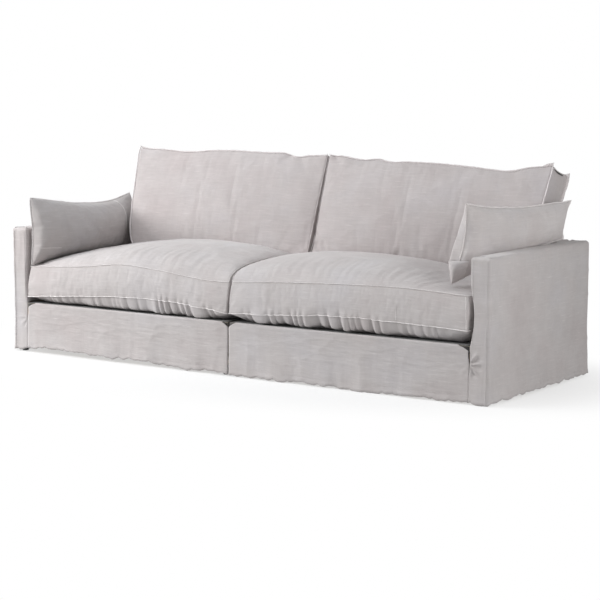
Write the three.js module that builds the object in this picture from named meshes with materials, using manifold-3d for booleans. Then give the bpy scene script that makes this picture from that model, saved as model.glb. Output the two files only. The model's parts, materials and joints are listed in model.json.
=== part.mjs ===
// Two-piece slipcovered sofa with low square arms as high as its back.
// Two halves push together and clip to each other. Each half is a timber frame on four glides,
// with interlaced seat webbing, foam pads and a loose linen slipcover, and it carries one overstuffed
// box cushion for the seat, one for the back and one arm pillow.
// Millimetres. X runs along the sofa, Y from front to back, Z up. The floor is Z = 0, and the arm
// fronts stand at Y = 0 until the whole sofa is centred at the end.

import * as THREE from 'three';
import { mergeVertices } from 'three/addons/utils/BufferGeometryUtils.js';
import Module from 'manifold-3d';

const wasm = await Module();
wasm.setup();

// Overall sizes of the upholstered frame.
const overallWidth = 2600;
const overallDepth = 915;
const frameHeight = 600;
const armThickness = 90;
const backThickness = 135;
const deckHeight = 241;
const halvesGap = 4;

// Clearances: between pieces that touch, between pieces that slide, and past the end of every cut.
const fit = 0.3;
const slideFit = 0.4;
const overrun = 20;

// Timber frame and glides.
const timber = {
  rail: 25, topRail: 30, post: 60,
};
const glide = {
  height: 50, toeRadius: 14, footRadius: 17, headRadius: 24, toeHeight: 6, headHeight: 12,
  inset: 30, sides: 12,
};

// Seat webbing, woven over and under. The outermost straps stand off by a share of the pitch.
const webbing = {
  width: 60, thickness: 2.4, weld: 0.2, pitchAcross: 185, pitchAlong: 180, endShare: 0.25,
};

// Foam pads over the timber. They end a little above the underside of the rails.
const pad = {
  deck: 22, top: 12, armInner: 18, armOuter: 8, backInner: 50, backOuter: 12, endRise: 10,
};

// Linen slipcover. Its shoulders turn over in two steps, and the skirt's upper corners are rounded.
const cover = {
  wall: 3, hemHeight: 8, hemFlare: 8, foldDepth: 5, foldPitch: 240,
  shoulder: 12, shoulderTurn: 3, cornerRun: 36, cornerRise: 24,
};

// Push-together connector between the halves, and the slit in the skirt that it passes through.
const connector = {
  plate: 3, width: 60, baseLength: 60, tongueLength: 42, jawLength: 58, jog: 8, slitEase: 12,
};

// Seat cushion: a deep box cushion with a high crown. Its belly hangs from its lower seam to the deck.
// Its seams lift between the corners, most of all where the two cushions squeeze each other at the
// middle of the sofa.
const seat = {
  overhang: 15, belly: 34, boxing: 142, frontLift: 33, armLift: 12, middleLift: 83, drawnIn: 12,
  cornerEase: 14, crownAcrossShare: 0.8, crownAlongShare: 0.6, bellyShare: 4,
};
const seatCrowns = { left: 102, right: 84 };

// Back cushion: leans against the top edge of the back. Its foot stands ahead of the back and over the
// seat's upper seam. Each one ends past the middle of the sofa, or short of it, and short of the arm.
const backCushion = {
  thickness: 155, leanDegrees: 18, footAhead: 228, footRise: 65, frontCrown: 34,
  drawnIn: 10, cornerEase: 10, crownShare: 0.7, pressShare: 0.72, sideReachShare: 0.3,
};
const backCushionSides = {
  left: { pastMiddle: 57, armGap: 125, height: 508, narrowLeft: 35, narrowRight: 20 },
  right: { pastMiddle: -62, armGap: -2, height: 484, narrowLeft: 0, narrowRight: 25 },
};

// Arm pillow: knife-edge, with pointed corners. Each corner is given by its distance inside the arm,
// its distance behind the arm's front or ahead of the back, and its rise over the seat's upper seam.
const pillow = {
  seam: 6, drawnIn: 30, cornerEase: 0, crownShare: 0.55,
};
const pillowPlaces = {
  left: {
    bottomFront: { inset: 30, behindFront: 8, rise: 7 },
    topFront: { inset: 30, behindFront: 5, rise: 326 },
    topRear: { inset: 25, aheadOfBack: 90, rise: 313 },
    bottomRear: { inset: 30, aheadOfBack: 108, rise: 27 },
    innerCrown: 112,
    outerCrown: 32,
  },
  right: {
    bottomFront: { inset: 148, behindFront: 112, rise: 57 },
    topFront: { inset: 110, behindFront: 149, rise: 380 },
    topRear: { inset: -78, aheadOfBack: 15, rise: 370 },
    bottomRear: { inset: -40, aheadOfBack: 32, rise: 205 },
    innerCrown: 72,
    outerCrown: 58,
  },
};

// Cushion covers are shells round a separate filling, and open along a zip.
const shell = {
  wall: 4, fillingEase: 0.6, pressEase: 0.6, zipHeight: 3, zipShare: 0.6,
};

// How finely the soft forms are drawn: columns and rows of each outer face, and of each inner one.
// The sides of an upholstered wall have more steps if they are long.
const mesh = {
  seatSteps: [14, 10], backSteps: [12, 8], pillowSteps: [10, 7], innerSteps: [8, 5], apronSteps: [20, 4],
  longSide: 270, longSteps: 8, shortSteps: 2,
};

const materials = {
  timber: { color: 0xb99468, roughness: 0.75 },
  glide: { color: 0x17171a, roughness: 0.5 },
  webbing: { color: 0x3b3530, roughness: 0.9 },
  foam: { color: 0xe6dfc9, roughness: 0.95 },
  linen: { color: 0xc8c2bc, roughness: 0.95 },
  filling: { color: 0xeeebe4, roughness: 0.95 },
  steel: { color: 0x9a9c9f, roughness: 0.4, metalness: 0.9 },
};

const sofa = new THREE.Group();

// Adds a mesh whose own origin is the middle of its box.
function addPiece(parent, name, geometry, materialName) {
  geometry.computeBoundingBox();
  const middle = geometry.boundingBox.getCenter(new THREE.Vector3());
  geometry.translate(-middle.x, -middle.y, -middle.z);
  geometry.computeVertexNormals();
  const piece = new THREE.Mesh(geometry, new THREE.MeshStandardMaterial(materials[materialName]));
  piece.name = name;
  piece.position.copy(middle);
  parent.add(piece);
  return piece;
}

// A rectangular block between two planes on each axis.
function block(spanX, spanY, spanZ) {
  const low = new THREE.Vector3(Math.min(...spanX), Math.min(...spanY), Math.min(...spanZ));
  const high = new THREE.Vector3(Math.max(...spanX), Math.max(...spanY), Math.max(...spanZ));
  const size = high.clone().sub(low);
  const middle = low.add(high).multiplyScalar(0.5);
  return new THREE.BoxGeometry(size.x, size.y, size.z).translate(middle.x, middle.y, middle.z);
}

// Adds a four-cornered face, given in order round its rim, as two triangles.
function addQuad(triangles, a, b, c, d) {
  triangles.push([a, b, c], [a, c, d]);
}

// A geometry from points and triangles, turned so that its faces point out.
function closedGeometry(points, triangles) {
  let volume = 0;
  for (const [a, b, c] of triangles) {
    volume += points[a].dot(points[b].clone().cross(points[c]));
  }
  const turned = volume < 0 ? triangles.map(([a, b, c]) => [a, c, b]) : triangles;
  const coordinates = points.flatMap((point) => point.toArray());
  const geometry = new THREE.BufferGeometry();
  geometry.setAttribute('position', new THREE.Float32BufferAttribute(coordinates, 3));
  geometry.setIndex(turned.flat());
  return geometry;
}

function toSolid(geometry) {
  const bare = geometry.clone();
  bare.deleteAttribute('normal');
  bare.deleteAttribute('uv');
  const merged = mergeVertices(bare);
  return new wasm.Manifold(new wasm.Mesh({
    numProp: 3,
    vertProperties: new Float32Array(merged.attributes.position.array),
    triVerts: new Uint32Array(merged.index.array),
  }));
}

function toGeometry(solid) {
  const cut = solid.getMesh();
  const geometry = new THREE.BufferGeometry();
  geometry.setAttribute('position', new THREE.Float32BufferAttribute(cut.vertProperties, 3));
  geometry.setIndex(Array.from(cut.triVerts));
  return geometry;
}

function cutFrom(geometry, ...tools) {
  const solid = tools.reduce((left, tool) => left.subtract(toSolid(tool)), toSolid(geometry));
  return toGeometry(solid);
}

function commonTo(geometry, other) {
  return toGeometry(toSolid(geometry).intersect(toSolid(other)));
}

// The same closed form with every point moved out along its normal, or in if the distance is negative.
function grown(geometry, distance) {
  const bare = geometry.clone();
  bare.deleteAttribute('normal');
  bare.deleteAttribute('uv');
  const merged = mergeVertices(bare);
  merged.computeVertexNormals();
  const { position, normal } = merged.attributes;
  for (let i = 0; i < position.count; i += 1) {
    position.setXYZ(
      i,
      position.getX(i) + distance * normal.getX(i),
      position.getY(i) + distance * normal.getY(i),
      position.getZ(i) + distance * normal.getZ(i),
    );
  }
  return merged;
}

// Values from -1 to 1, closer together near both ends.
function stations(count) {
  return Array.from({ length: count + 1 }, (_, i) => Math.sin(Math.PI * (i / count - 0.5)));
}

// A cushion from its two faces. upper(u, v) and lower(u, v) give points for u and v from -1 to 1, and
// boxing(u, v) gives the points halfway down the side band.
function cushionGeometry([columns, rows], { upper, lower, boxing }) {
  const across = stations(columns);
  const along = stations(rows);
  const points = [];
  const triangles = [];
  const face = (place) => across.map((u) => along.map((v) => points.push(place(u, v)) - 1));
  const top = face(upper);
  const bottom = face(lower);
  for (let i = 0; i < columns; i += 1) {
    for (let j = 0; j < rows; j += 1) {
      addQuad(triangles, top[i][j], top[i + 1][j], top[i + 1][j + 1], top[i][j + 1]);
      addQuad(triangles, bottom[i][j], bottom[i][j + 1], bottom[i + 1][j + 1], bottom[i + 1][j]);
    }
  }
  const rim = [
    ...across.slice(0, -1).map((_, i) => [i, 0]),
    ...along.slice(0, -1).map((_, j) => [columns, j]),
    ...across.slice(0, -1).map((_, i) => [columns - i, rows]),
    ...along.slice(0, -1).map((_, j) => [0, rows - j]),
  ];
  const bands = [rim.map(([i, j]) => bottom[i][j])];
  if (boxing) {
    bands.push(rim.map(([i, j]) => points.push(boxing(across[i], along[j])) - 1));
  }
  bands.push(rim.map(([i, j]) => top[i][j]));
  addBands(triangles, bands);
  return closedGeometry(points, triangles);
}

// Joins rings of points, each with the next one, by faces all round.
function addBands(triangles, rings) {
  for (let k = 0; k + 1 < rings.length; k += 1) {
    const [ring, after] = [rings[k], rings[k + 1]];
    ring.forEach((point, i) => {
      const next = (i + 1) % ring.length;
      addQuad(triangles, point, ring[next], after[next], after[i]);
    });
  }
}

// Outline of a box cushion's panel: its sides are drawn in between the corners, which are eased.
const cornerPower = 8;

function panelPlace(u, v, halfX, halfY, drawnIn, cornerEase) {
  const corner = cornerEase * (u * v) ** cornerPower;
  return [
    u * (halfX - drawnIn * (1 - v * v) * u * u - corner),
    v * (halfY - drawnIn * (1 - u * u) * v * v - corner),
  ];
}

// The rise of a stuffed face over its seams, from 0 at the edges to 1 in the middle.
function crownRise(u, v, shareAcross, shareAlong = shareAcross) {
  return Math.max(0, 1 - u * u) ** shareAcross * Math.max(0, 1 - v * v) ** shareAlong;
}

// Sizes that several pieces share.
const outer = overallWidth / 2;
const armInner = outer - armThickness;
const backFront = overallDepth - backThickness;
const half = { inner: halvesGap / 2, skin: cover.wall + fit };
const timberSpan = {
  end: half.inner + half.skin,
  front: half.skin,
  rear: overallDepth - half.skin - pad.backOuter - fit,
  armInner: armInner + half.skin + pad.armInner + fit,
  armOuter: outer - half.skin - pad.armOuter - fit,
  backFront: backFront + half.skin + pad.backInner + fit,
  top: frameHeight - half.skin - pad.top - fit,
};
timberSpan.postTop = timberSpan.top - timber.topRail - fit;
const deckTop = deckHeight - cover.wall;
const padTop = deckTop - fit;
const padBottom = padTop - pad.deck;
const railTop = padBottom - fit - 2 * webbing.thickness - fit;
const railBottom = glide.height + fit;
const padEnd = railBottom + pad.endRise;
const seatRear = backFront - fit;
const lowerSeam = deckHeight + seat.belly;
const upperSeam = lowerSeam + seat.boxing;

// Timber frame: rails, posts and top rails, butted with a hair's clearance.
function addFrame(parent, side, label) {
  const x = (...distances) => distances.map((distance) => side * distance);
  const { end, front, rear, armInner: armIn, armOuter, backFront: backIn, top, postTop } = timberSpan;
  const postsX = [armIn, armOuter];
  const rails = [railBottom, railTop];
  const posts = [railBottom, postTop];
  const boards = {
    front_rail: [x(end, armIn - fit), [front, front + timber.rail], rails],
    back_rail: [x(end + timber.post + fit, armIn - fit), [backIn, backIn + timber.rail], rails],
    inner_side_rail: [x(end, end + timber.rail), [front + timber.rail + fit, backIn - fit], rails],
    arm_side_rail: [x(armIn, armIn + timber.rail), [front + timber.post + fit, backIn - fit], rails],
    arm_front_post: [x(...postsX), [front, front + timber.post], posts],
    arm_rear_post: [x(...postsX), [backIn, rear], posts],
    back_inner_post: [x(end, end + timber.post), [backIn, rear], posts],
    back_middle_post: [
      x((end + armIn - timber.post) / 2, (end + armIn + timber.post) / 2),
      [backIn + timber.rail + fit, rear], posts,
    ],
    arm_top_rail: [x(...postsX), [front, rear], [postTop + fit, top]],
    back_top_rail: [x(end, armIn - fit), [backIn, rear], [postTop + fit, top]],
  };
  for (const [name, spans] of Object.entries(boards)) {
    addPiece(parent, `${label}_${name}`, block(...spans), 'timber');
  }
}

// Tapered glides under the four corners of a half.
function addGlides(parent, side, label) {
  const profile = [
    [0, 0],
    [glide.toeRadius, 0],
    [glide.footRadius, glide.toeHeight],
    [glide.headRadius, glide.height - glide.headHeight],
    [glide.headRadius, glide.height],
    [0, glide.height],
  ].map(([radius, z]) => new THREE.Vector2(radius, z));
  const { end, front, rear, armInner: armIn, armOuter, backFront: backIn } = timberSpan;
  const places = {
    front_inner: [end + glide.inset, front + glide.inset],
    front_outer: [(armIn + armOuter) / 2, front + glide.inset],
    rear_inner: [end + glide.inset, (backIn + rear) / 2],
    rear_outer: [(armIn + armOuter) / 2, (backIn + rear) / 2],
  };
  for (const [corner, [x, y]] of Object.entries(places)) {
    const turned = new THREE.LatheGeometry(profile, glide.sides).rotateX(Math.PI / 2);
    addPiece(parent, `${label}_${corner}_glide`, turned.translate(side * x, y, 0), 'glide');
  }
}

// A strap as a ribbon that steps over and under the straps it crosses.
function strap(start, finish, centre, crossings, alongX, firstOver) {
  const rise = (webbing.thickness - webbing.weld) / 2;
  const middle = railTop + fit + webbing.thickness;
  const levelAt = (i) => ((i % 2 === 0) === firstOver ? rise : -rise);
  const stops = [
    [start, levelAt(0)],
    ...crossings.flatMap((place, i) => [
      [place - webbing.width / 2, levelAt(i)],
      [place + webbing.width / 2, levelAt(i)],
    ]),
    [finish, levelAt(crossings.length - 1)],
  ];
  const points = [];
  const triangles = [];
  const section = [[-1, -1], [1, -1], [1, 1], [-1, 1]];
  const rings = stops.map(([distance, level]) => section.map(([sideways, up]) => {
    const across = centre + (sideways * webbing.width) / 2;
    const z = middle + level + (up * webbing.thickness) / 2;
    const [x, y] = alongX ? [distance, across] : [across, distance];
    return points.push(new THREE.Vector3(x, y, z)) - 1;
  }));
  addBands(triangles, rings);
  addQuad(triangles, ...rings[0].toReversed());
  addQuad(triangles, ...rings[rings.length - 1]);
  return closedGeometry(points, triangles);
}

// Evenly spread strap centres between two planes, at about the given pitch.
function spread(low, high, pitch) {
  const count = Math.max(2, Math.floor((high - low - webbing.width) / pitch) + 1);
  const margin = webbing.width / 2 + webbing.endShare * pitch;
  const step = (high - low - 2 * margin) / (count - 1);
  return Array.from({ length: count }, (_, i) => low + margin + i * step);
}

function addWebbing(parent, side, label) {
  const { end, front, armInner: armIn, backFront: backIn } = timberSpan;
  const spanX = [side * (end + timber.post + fit), side * (armIn - fit)].sort((a, b) => a - b);
  const spanY = [front + timber.post + fit, backIn - fit];
  const straightX = [side * end, side * (armIn + timber.rail)].sort((a, b) => a - b);
  const warps = spread(...spanX, webbing.pitchAcross);
  const wefts = spread(...spanY, webbing.pitchAlong);
  const straps = [
    ...warps.map((x, i) => strap(front, backIn + timber.rail, x, wefts, false, i % 2 === 0)),
    ...wefts.map((y, i) => strap(...straightX, y, warps, true, i % 2 === 1)),
  ];
  const lattice = straps.map(toSolid).reduce((all, next) => all.add(next));
  addPiece(parent, `${label}_seat_webbing`, toGeometry(lattice), 'webbing');
}

// Foam: a flat deck pad, and pads that fold over the arm and the back like an upside-down U.
function addPads(parent, side, label) {
  const { end, front, rear, armInner: armIn, armOuter, backFront: backIn, top } = timberSpan;
  const x = (...distances) => distances.map((distance) => side * distance);
  const walls = wallsOf(side);
  const timberTop = top + fit;
  const padRear = rear + fit + pad.backOuter;
  const padHeights = [padEnd, timberTop + pad.top];
  const belowDeck = [padEnd - overrun, deckHeight + fit];
  const belowTop = [padEnd - overrun, timberTop];

  const deckPad = block(x(end, armIn - fit), [front, backIn - fit], [padBottom, padTop]);
  addPiece(parent, `${label}_deck_pad`, deckPad, 'foam');

  const innerFace = armIn - fit - pad.armInner;
  const outerFace = armOuter + fit + pad.armOuter;
  const innerLeg = x(innerFace - overrun, armIn);
  const armPad = cutFrom(
    block(x(innerFace, outerFace), [front, padRear], padHeights),
    block(x(armIn - fit, armOuter + fit), [front - overrun, padRear + overrun], belowTop),
    block(innerLeg, [front - overrun, overallDepth], belowDeck),
    block(innerLeg, [backFront, overallDepth], belowTop),
  );
  addPiece(parent, `${label}_arm_pad`, commonTo(armPad, walls.arm(half.skin)), 'foam');

  const throughout = x(end - overrun, armInner + overrun);
  const backPad = cutFrom(
    block(x(end, armInner - fit), [backIn - fit - pad.backInner, padRear], padHeights),
    block(throughout, [backIn - fit, rear + fit], belowTop),
    block(throughout, [backFront - overrun, backIn], belowDeck),
  );
  addPiece(parent, `${label}_back_pad`, commonTo(backPad, walls.back(half.skin)), 'foam');
}

// Points round a rectangle, counter-clockwise from its low corner, with each one's outward direction.
function rectangleRing(low, high) {
  const corners = [[low[0], low[1]], [high[0], low[1]], [high[0], high[1]], [low[0], high[1]]];
  const cornersOutward = [[-1, -1], [1, -1], [1, 1], [-1, 1]];
  const sidesOutward = [[0, -1], [1, 0], [0, 1], [-1, 0]];
  return corners.flatMap((from, k) => {
    const to = corners[(k + 1) % corners.length];
    const length = Math.hypot(to[0] - from[0], to[1] - from[1]);
    const steps = length > mesh.longSide ? mesh.longSteps : mesh.shortSteps;
    return Array.from({ length: steps }, (_, i) => ({
      place: from.map((start, axis) => start + ((to[axis] - start) * i) / steps),
      outward: i === 0 ? cornersOutward[k] : sidesOutward[k],
    }));
  });
}

// The fullness of the skirt at a height: nothing at the deck, the full flare at the hem.
function flareAt(z, run) {
  const drop = Math.max(0, (deckHeight - z) / (deckHeight - cover.hemHeight));
  const fold = 0.5 - 0.5 * Math.cos((2 * Math.PI * run) / cover.foldPitch);
  return drop ** 2 * (cover.hemFlare - cover.foldDepth * fold);
}

// The outer form of an upholstered wall, or the same form drawn in by an inset: softened shoulders,
// and a flared hem on the outward directions that flares() picks. An inset form runs on below the hem.
function wallForm([low, high], flares, inset) {
  const levels = [
    [cover.hemHeight - (inset > 0 ? overrun : 0), 0],
    [(cover.hemHeight + deckHeight) / 2, 0],
    [deckHeight, 0],
    [frameHeight - cover.shoulder, 0],
    [frameHeight - cover.shoulderTurn - inset, cover.shoulderTurn],
    [frameHeight - inset, cover.shoulder],
  ];
  const ring = rectangleRing(low, high);
  const points = [];
  const triangles = [];
  const layers = levels.map(([z, shoulder]) => ring.map(({ place, outward }) => {
    const flare = flares(outward) ? flareAt(z, place[0] + place[1]) : 0;
    const out = flare - shoulder - inset;
    return points.push(new THREE.Vector3(place[0] + outward[0] * out, place[1] + outward[1] * out, z)) - 1;
  }));
  addBands(triangles, layers);
  const lid = (layer, z, up) => {
    const centre = points.push(new THREE.Vector3((low[0] + high[0]) / 2, (low[1] + high[1]) / 2, z)) - 1;
    layer.forEach((point, i) => {
      const next = layer[(i + 1) % layer.length];
      triangles.push(up ? [centre, point, next] : [centre, next, point]);
    });
  };
  lid(layers[0], levels[0][0], false);
  lid(layers[layers.length - 1], levels[levels.length - 1][0], true);
  return closedGeometry(points, triangles);
}

// The arm and the back of one half, as upholstered walls: their plan, and where the hem flares.
// The back is open where it meets the arm, so its inset form runs on past that end.
function wallsOf(side) {
  const x = (...distances) => distances.map((distance) => side * distance).sort((a, b) => a - b);
  const [armLow, armHigh] = x(armInner, outer);
  const armPlan = [[armLow, 0], [armHigh, overallDepth]];
  const armFlares = ([dx, dy]) => dx === side || (dx === 0 && dy !== 0);
  const backFlares = ([dx, dy]) => dx === 0 && dy === 1;
  const backPlan = (inset) => {
    const [backLow, backHigh] = x(half.inner, armInner - fit + (inset > 0 ? overrun + inset : 0));
    return [[backLow, backFront], [backHigh, overallDepth]];
  };
  return {
    arm: (inset) => wallForm(armPlan, armFlares, inset),
    back: (inset) => wallForm(backPlan(inset), backFlares, inset),
  };
}

// Slipcover of one half, in its sewn panels: arm, back, deck, front skirt and the plain end at the joint.
function addSlipcover(parent, side, label) {
  const x = (...distances) => distances.map((distance) => side * distance);
  const inner = half.inner;
  const belowDeck = [-overrun, deckHeight + fit];
  const belowTop = [-overrun, frameHeight - cover.wall];
  const inRear = overallDepth - cover.wall;

  const walls = wallsOf(side);
  const innerFace = x(armInner - overrun, armInner + cover.wall);
  const armCover = cutFrom(
    walls.arm(0),
    walls.arm(cover.wall),
    block(innerFace, [cover.wall, inRear], belowDeck),
    block(innerFace, [backFront + cover.wall, inRear], belowTop),
  );
  addPiece(parent, `${label}_arm_cover`, armCover, 'linen');

  const frontFace = [backFront - overrun, backFront + cover.wall];
  const backCover = cutFrom(
    walls.back(0),
    walls.back(cover.wall),
    block(x(inner + cover.wall, armInner + overrun), frontFace, belowDeck),
  );
  addPiece(parent, `${label}_back_cover`, backCover, 'linen');

  const deck = block(x(inner, armInner - fit), [0, seatRear], [deckTop, deckHeight]);
  addPiece(parent, `${label}_deck_cover`, deck, 'linen');

  const [columns, rows] = mesh.apronSteps;
  const skirtTop = deckTop - fit;
  const apron = (depth) => (u, v) => {
    const z = cover.hemHeight + Math.sin((Math.PI * v) / 2) * (skirtTop - cover.hemHeight);
    const rounding = Math.max(0, (z - skirtTop + cover.cornerRise) / cover.cornerRise);
    const nearEnd = inner + cover.cornerRun * rounding ** 2;
    const distance = nearEnd + u * (armInner - fit - nearEnd);
    return new THREE.Vector3(side * distance, depth - flareAt(z, distance), z);
  };
  const skirt = sheetGeometry(columns, rows, apron(0), apron(cover.wall));
  addPiece(parent, `${label}_front_apron`, skirt, 'linen');

  const slitHalf = connector.width / 2 + connector.slitEase;
  const slit = [
    [connectorY - slitHalf, connectorY + slitHalf],
    [-overrun, railBottom + connector.slitEase],
  ];
  const endPanel = cutFrom(
    block(x(inner, inner + cover.wall), [cover.wall + fit, seatRear], [cover.hemHeight, skirtTop]),
    block(x(inner - overrun, inner + overrun), ...slit),
  );
  addPiece(parent, `${label}_joint_end_panel`, endPanel, 'linen');
}

// A closed sheet between two faces given for u and v from 0 to 1.
function sheetGeometry(columns, rows, front, back) {
  const points = [];
  const triangles = [];
  const face = (place) => Array.from({ length: columns + 1 }, (_, i) => (
    Array.from({ length: rows + 1 }, (__, j) => points.push(place(i / columns, j / rows)) - 1)
  ));
  const [a, b] = [face(front), face(back)];
  const quad = (...corners) => addQuad(triangles, ...corners);
  for (let i = 0; i < columns; i += 1) {
    for (let j = 0; j < rows; j += 1) {
      quad(a[i][j], a[i + 1][j], a[i + 1][j + 1], a[i][j + 1]);
      quad(b[i][j], b[i][j + 1], b[i + 1][j + 1], b[i + 1][j]);
    }
    quad(a[i][0], b[i][0], b[i + 1][0], a[i + 1][0]);
    quad(a[i][rows], a[i + 1][rows], b[i + 1][rows], b[i][rows]);
  }
  for (let j = 0; j < rows; j += 1) {
    quad(a[0][j], a[0][j + 1], b[0][j + 1], b[0][j]);
    quad(a[columns][j], b[columns][j], b[columns][j + 1], a[columns][j + 1]);
  }
  return closedGeometry(points, triangles);
}

// The connector: a joggled tongue on the left half pushes into a folded jaw on the right half.
const connectorY = (timberSpan.front + timberSpan.backFront) / 2;

function plateGeometry(outline) {
  const shape = new THREE.Shape(outline.map(([x, z]) => new THREE.Vector2(x, z)));
  const plate = new THREE.ExtrudeGeometry(shape, { depth: connector.width, bevelEnabled: false });
  return plate.rotateX(Math.PI / 2).translate(0, connectorY + connector.width / 2, 0);
}

function addConnector(left, right) {
  const { plate, baseLength, tongueLength, jawLength, jog } = connector;
  const top = railBottom - fit;
  const tongueTop = top - plate - slideFit;
  const tongue = [
    [-baseLength, top - plate],
    [-half.inner - jog, top - plate],
    [-half.inner, tongueTop - plate],
    [tongueLength, tongueTop - plate],
    [tongueLength, tongueTop],
    [-half.inner, tongueTop],
    [-half.inner - jog, top],
    [-baseLength, top],
  ];
  addPiece(left, 'connector_tongue', plateGeometry(tongue), 'steel');
  const near = timberSpan.end;
  const mouthFloor = tongueTop - plate - slideFit;
  const jaw = [
    [near, top - plate],
    [jawLength, top - plate],
    [jawLength, mouthFloor],
    [near + jog, mouthFloor],
    [near, mouthFloor - plate],
    [near, mouthFloor - 2 * plate],
    [near + jog, mouthFloor - plate],
    [jawLength + plate, mouthFloor - plate],
    [jawLength + plate, top],
    [near, top],
  ];
  addPiece(right, 'connector_jaw', plateGeometry(jaw), 'steel');
}

// Adds a cushion's cover, a shell open along its zip, and the filling inside it.
function addCushion(parent, name, fillingName, outside, inside, presses, zip) {
  const pressed = (form, depth) => cutFrom(form, ...presses.map((press) => press(depth + shell.pressEase)));
  const skin = cutFrom(pressed(outside, 0), pressed(grown(inside, -shell.wall), shell.wall), zip);
  addPiece(parent, name, skin, 'linen');
  const filling = pressed(grown(inside, -shell.wall - shell.fillingEase), shell.wall + shell.fillingEase);
  addPiece(parent, fillingName, filling, 'filling');
}

// The block that presses the seat's rear down: the leaning back cushion's underside and front.
function backPress(depth) {
  const press = block(
    [-outer, outer],
    [-depth, frameHeight],
    [-2 * backCushion.thickness, backCushion.pressShare * backCushion.frontCrown + depth],
  );
  return press.applyMatrix4(backCushionPlace());
}

// The inner and the outer side of a back cushion, where it isn't narrowed.
function backCushionEdges(label, side) {
  const { pastMiddle, armGap } = backCushionSides[label];
  return [-side * pastMiddle, side * (armInner - armGap)];
}

// The block that keeps an arm pillow clear of the back cushion's side and front as either is lifted.
function besideBackPress(label, side) {
  const [, edge] = backCushionEdges(label, side);
  return (depth) => block(
    [0, edge + side * depth],
    [-frameHeight, frameHeight],
    [-frameHeight, backCushion.sideReachShare * backCushion.frontCrown + depth],
  ).applyMatrix4(backCushionPlace());
}

// The block that an arm pillow lies against: the arm, up to its top.
function armPress(side) {
  return (depth) => block(
    [side * (armInner - depth), side * (outer + overrun)],
    [-overrun, overallDepth + overrun],
    [0, frameHeight + depth],
  );
}

// Local axes of a back cushion: X across, Y up its slope, Z out of its front. Its origin is the
// bottom of its front seam.
function backCushionPlace() {
  const { leanDegrees, footAhead, footRise } = backCushion;
  const turn = Math.PI / 2 - THREE.MathUtils.degToRad(leanDegrees);
  return new THREE.Matrix4().makeRotationX(turn).setPosition(0, backFront - footAhead, upperSeam + footRise);
}

// The rear crown that just reaches the top edge of the back, where the cushion leans.
function backRearCrown(height) {
  const edge = new THREE.Vector3(0, backFront, frameHeight - cover.shoulder);
  edge.applyMatrix4(backCushionPlace().invert());
  const reach = -edge.z - backCushion.thickness - fit;
  return reach / crownRise(0, (2 * edge.y) / height - 1, backCushion.crownShare);
}

function seatForm(label, side, grid) {
  const near = half.inner + fit / 2;
  const halfX = (armInner - fit - near) / 2;
  const halfY = (seatRear + seat.overhang) / 2;
  const middle = [side * (near + halfX), halfY - seat.overhang];
  const nearArm = (u) => 0.5 + 0.5 * u * side;
  const nearMiddle = (u) => 1 - nearArm(u);
  const bow = (v) => Math.sqrt(Math.max(0, 1 - v * v));
  const frontLift = (u, v) => seat.frontLift * (1 - u * u) * v * v;
  const armLift = (u, v) => seat.armLift * (1 - v * v) * nearArm(u) ** 2;
  const middleLift = (u, v) => seat.middleLift * bow(v) * nearMiddle(u) ** 2;
  const floor = deckHeight + fit;
  const place = (u, v, z, drawnIn) => {
    const [x, y] = panelPlace(u, v, halfX, halfY, drawnIn, seat.cornerEase);
    return new THREE.Vector3(middle[0] + x, middle[1] + y, z);
  };
  const rise = (u, v) => seatCrowns[label] * crownRise(u, v, seat.crownAcrossShare, seat.crownAlongShare);
  const top = (u, v) => upperSeam + frontLift(u, v) + armLift(u, v) + middleLift(u, v) + rise(u, v);
  const bottom = (u, v) => {
    const seam = lowerSeam + frontLift(u, v) + armLift(u, v);
    return seam - (seam - floor) * Math.min(1, seat.bellyShare * crownRise(u, v, 0.5));
  };
  return cushionGeometry(grid, {
    upper: (u, v) => place(u, v, top(u, v), seat.drawnIn),
    lower: (u, v) => place(u, v, bottom(u, v), seat.drawnIn),
    boxing: (u, v) => place(u, v, (top(u, v) + bottom(u, v)) / 2, 0),
  });
}

function backForm(label, side, grid) {
  const sides = backCushionSides[label];
  const [innerEdge, outerEdge] = backCushionEdges(label, side);
  const halfX = Math.abs(outerEdge - innerEdge) / 2;
  const halfY = sides.height / 2;
  const middle = (innerEdge + outerEdge) / 2;
  const place = (u, v, z, drawnIn) => {
    const [x, y] = panelPlace(u, v, halfX, halfY, drawnIn, backCushion.cornerEase);
    const narrowing = (u < 0 ? sides.narrowLeft : sides.narrowRight) * u * (0.5 - 0.5 * v);
    return new THREE.Vector3(middle + x - narrowing, halfY + y, z);
  };
  const rise = (u, v) => crownRise(u, v, backCushion.crownShare);
  const rearCrown = backRearCrown(sides.height);
  return cushionGeometry(grid, {
    upper: (u, v) => place(u, v, backCushion.frontCrown * rise(u, v), backCushion.drawnIn),
    lower: (u, v) => place(u, v, -backCushion.thickness - rearCrown * rise(u, v), backCushion.drawnIn),
    boxing: (u, v) => place(u, v, -backCushion.thickness / 2, 0),
  });
}

// Where a corner of an arm pillow stands.
function pillowCorner(label, side, name) {
  const { inset, behindFront, aheadOfBack, rise } = pillowPlaces[label][name];
  const y = behindFront ?? backFront - aheadOfBack;
  return new THREE.Vector3(side * (armInner - inset), y, upperSeam + rise);
}

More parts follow.
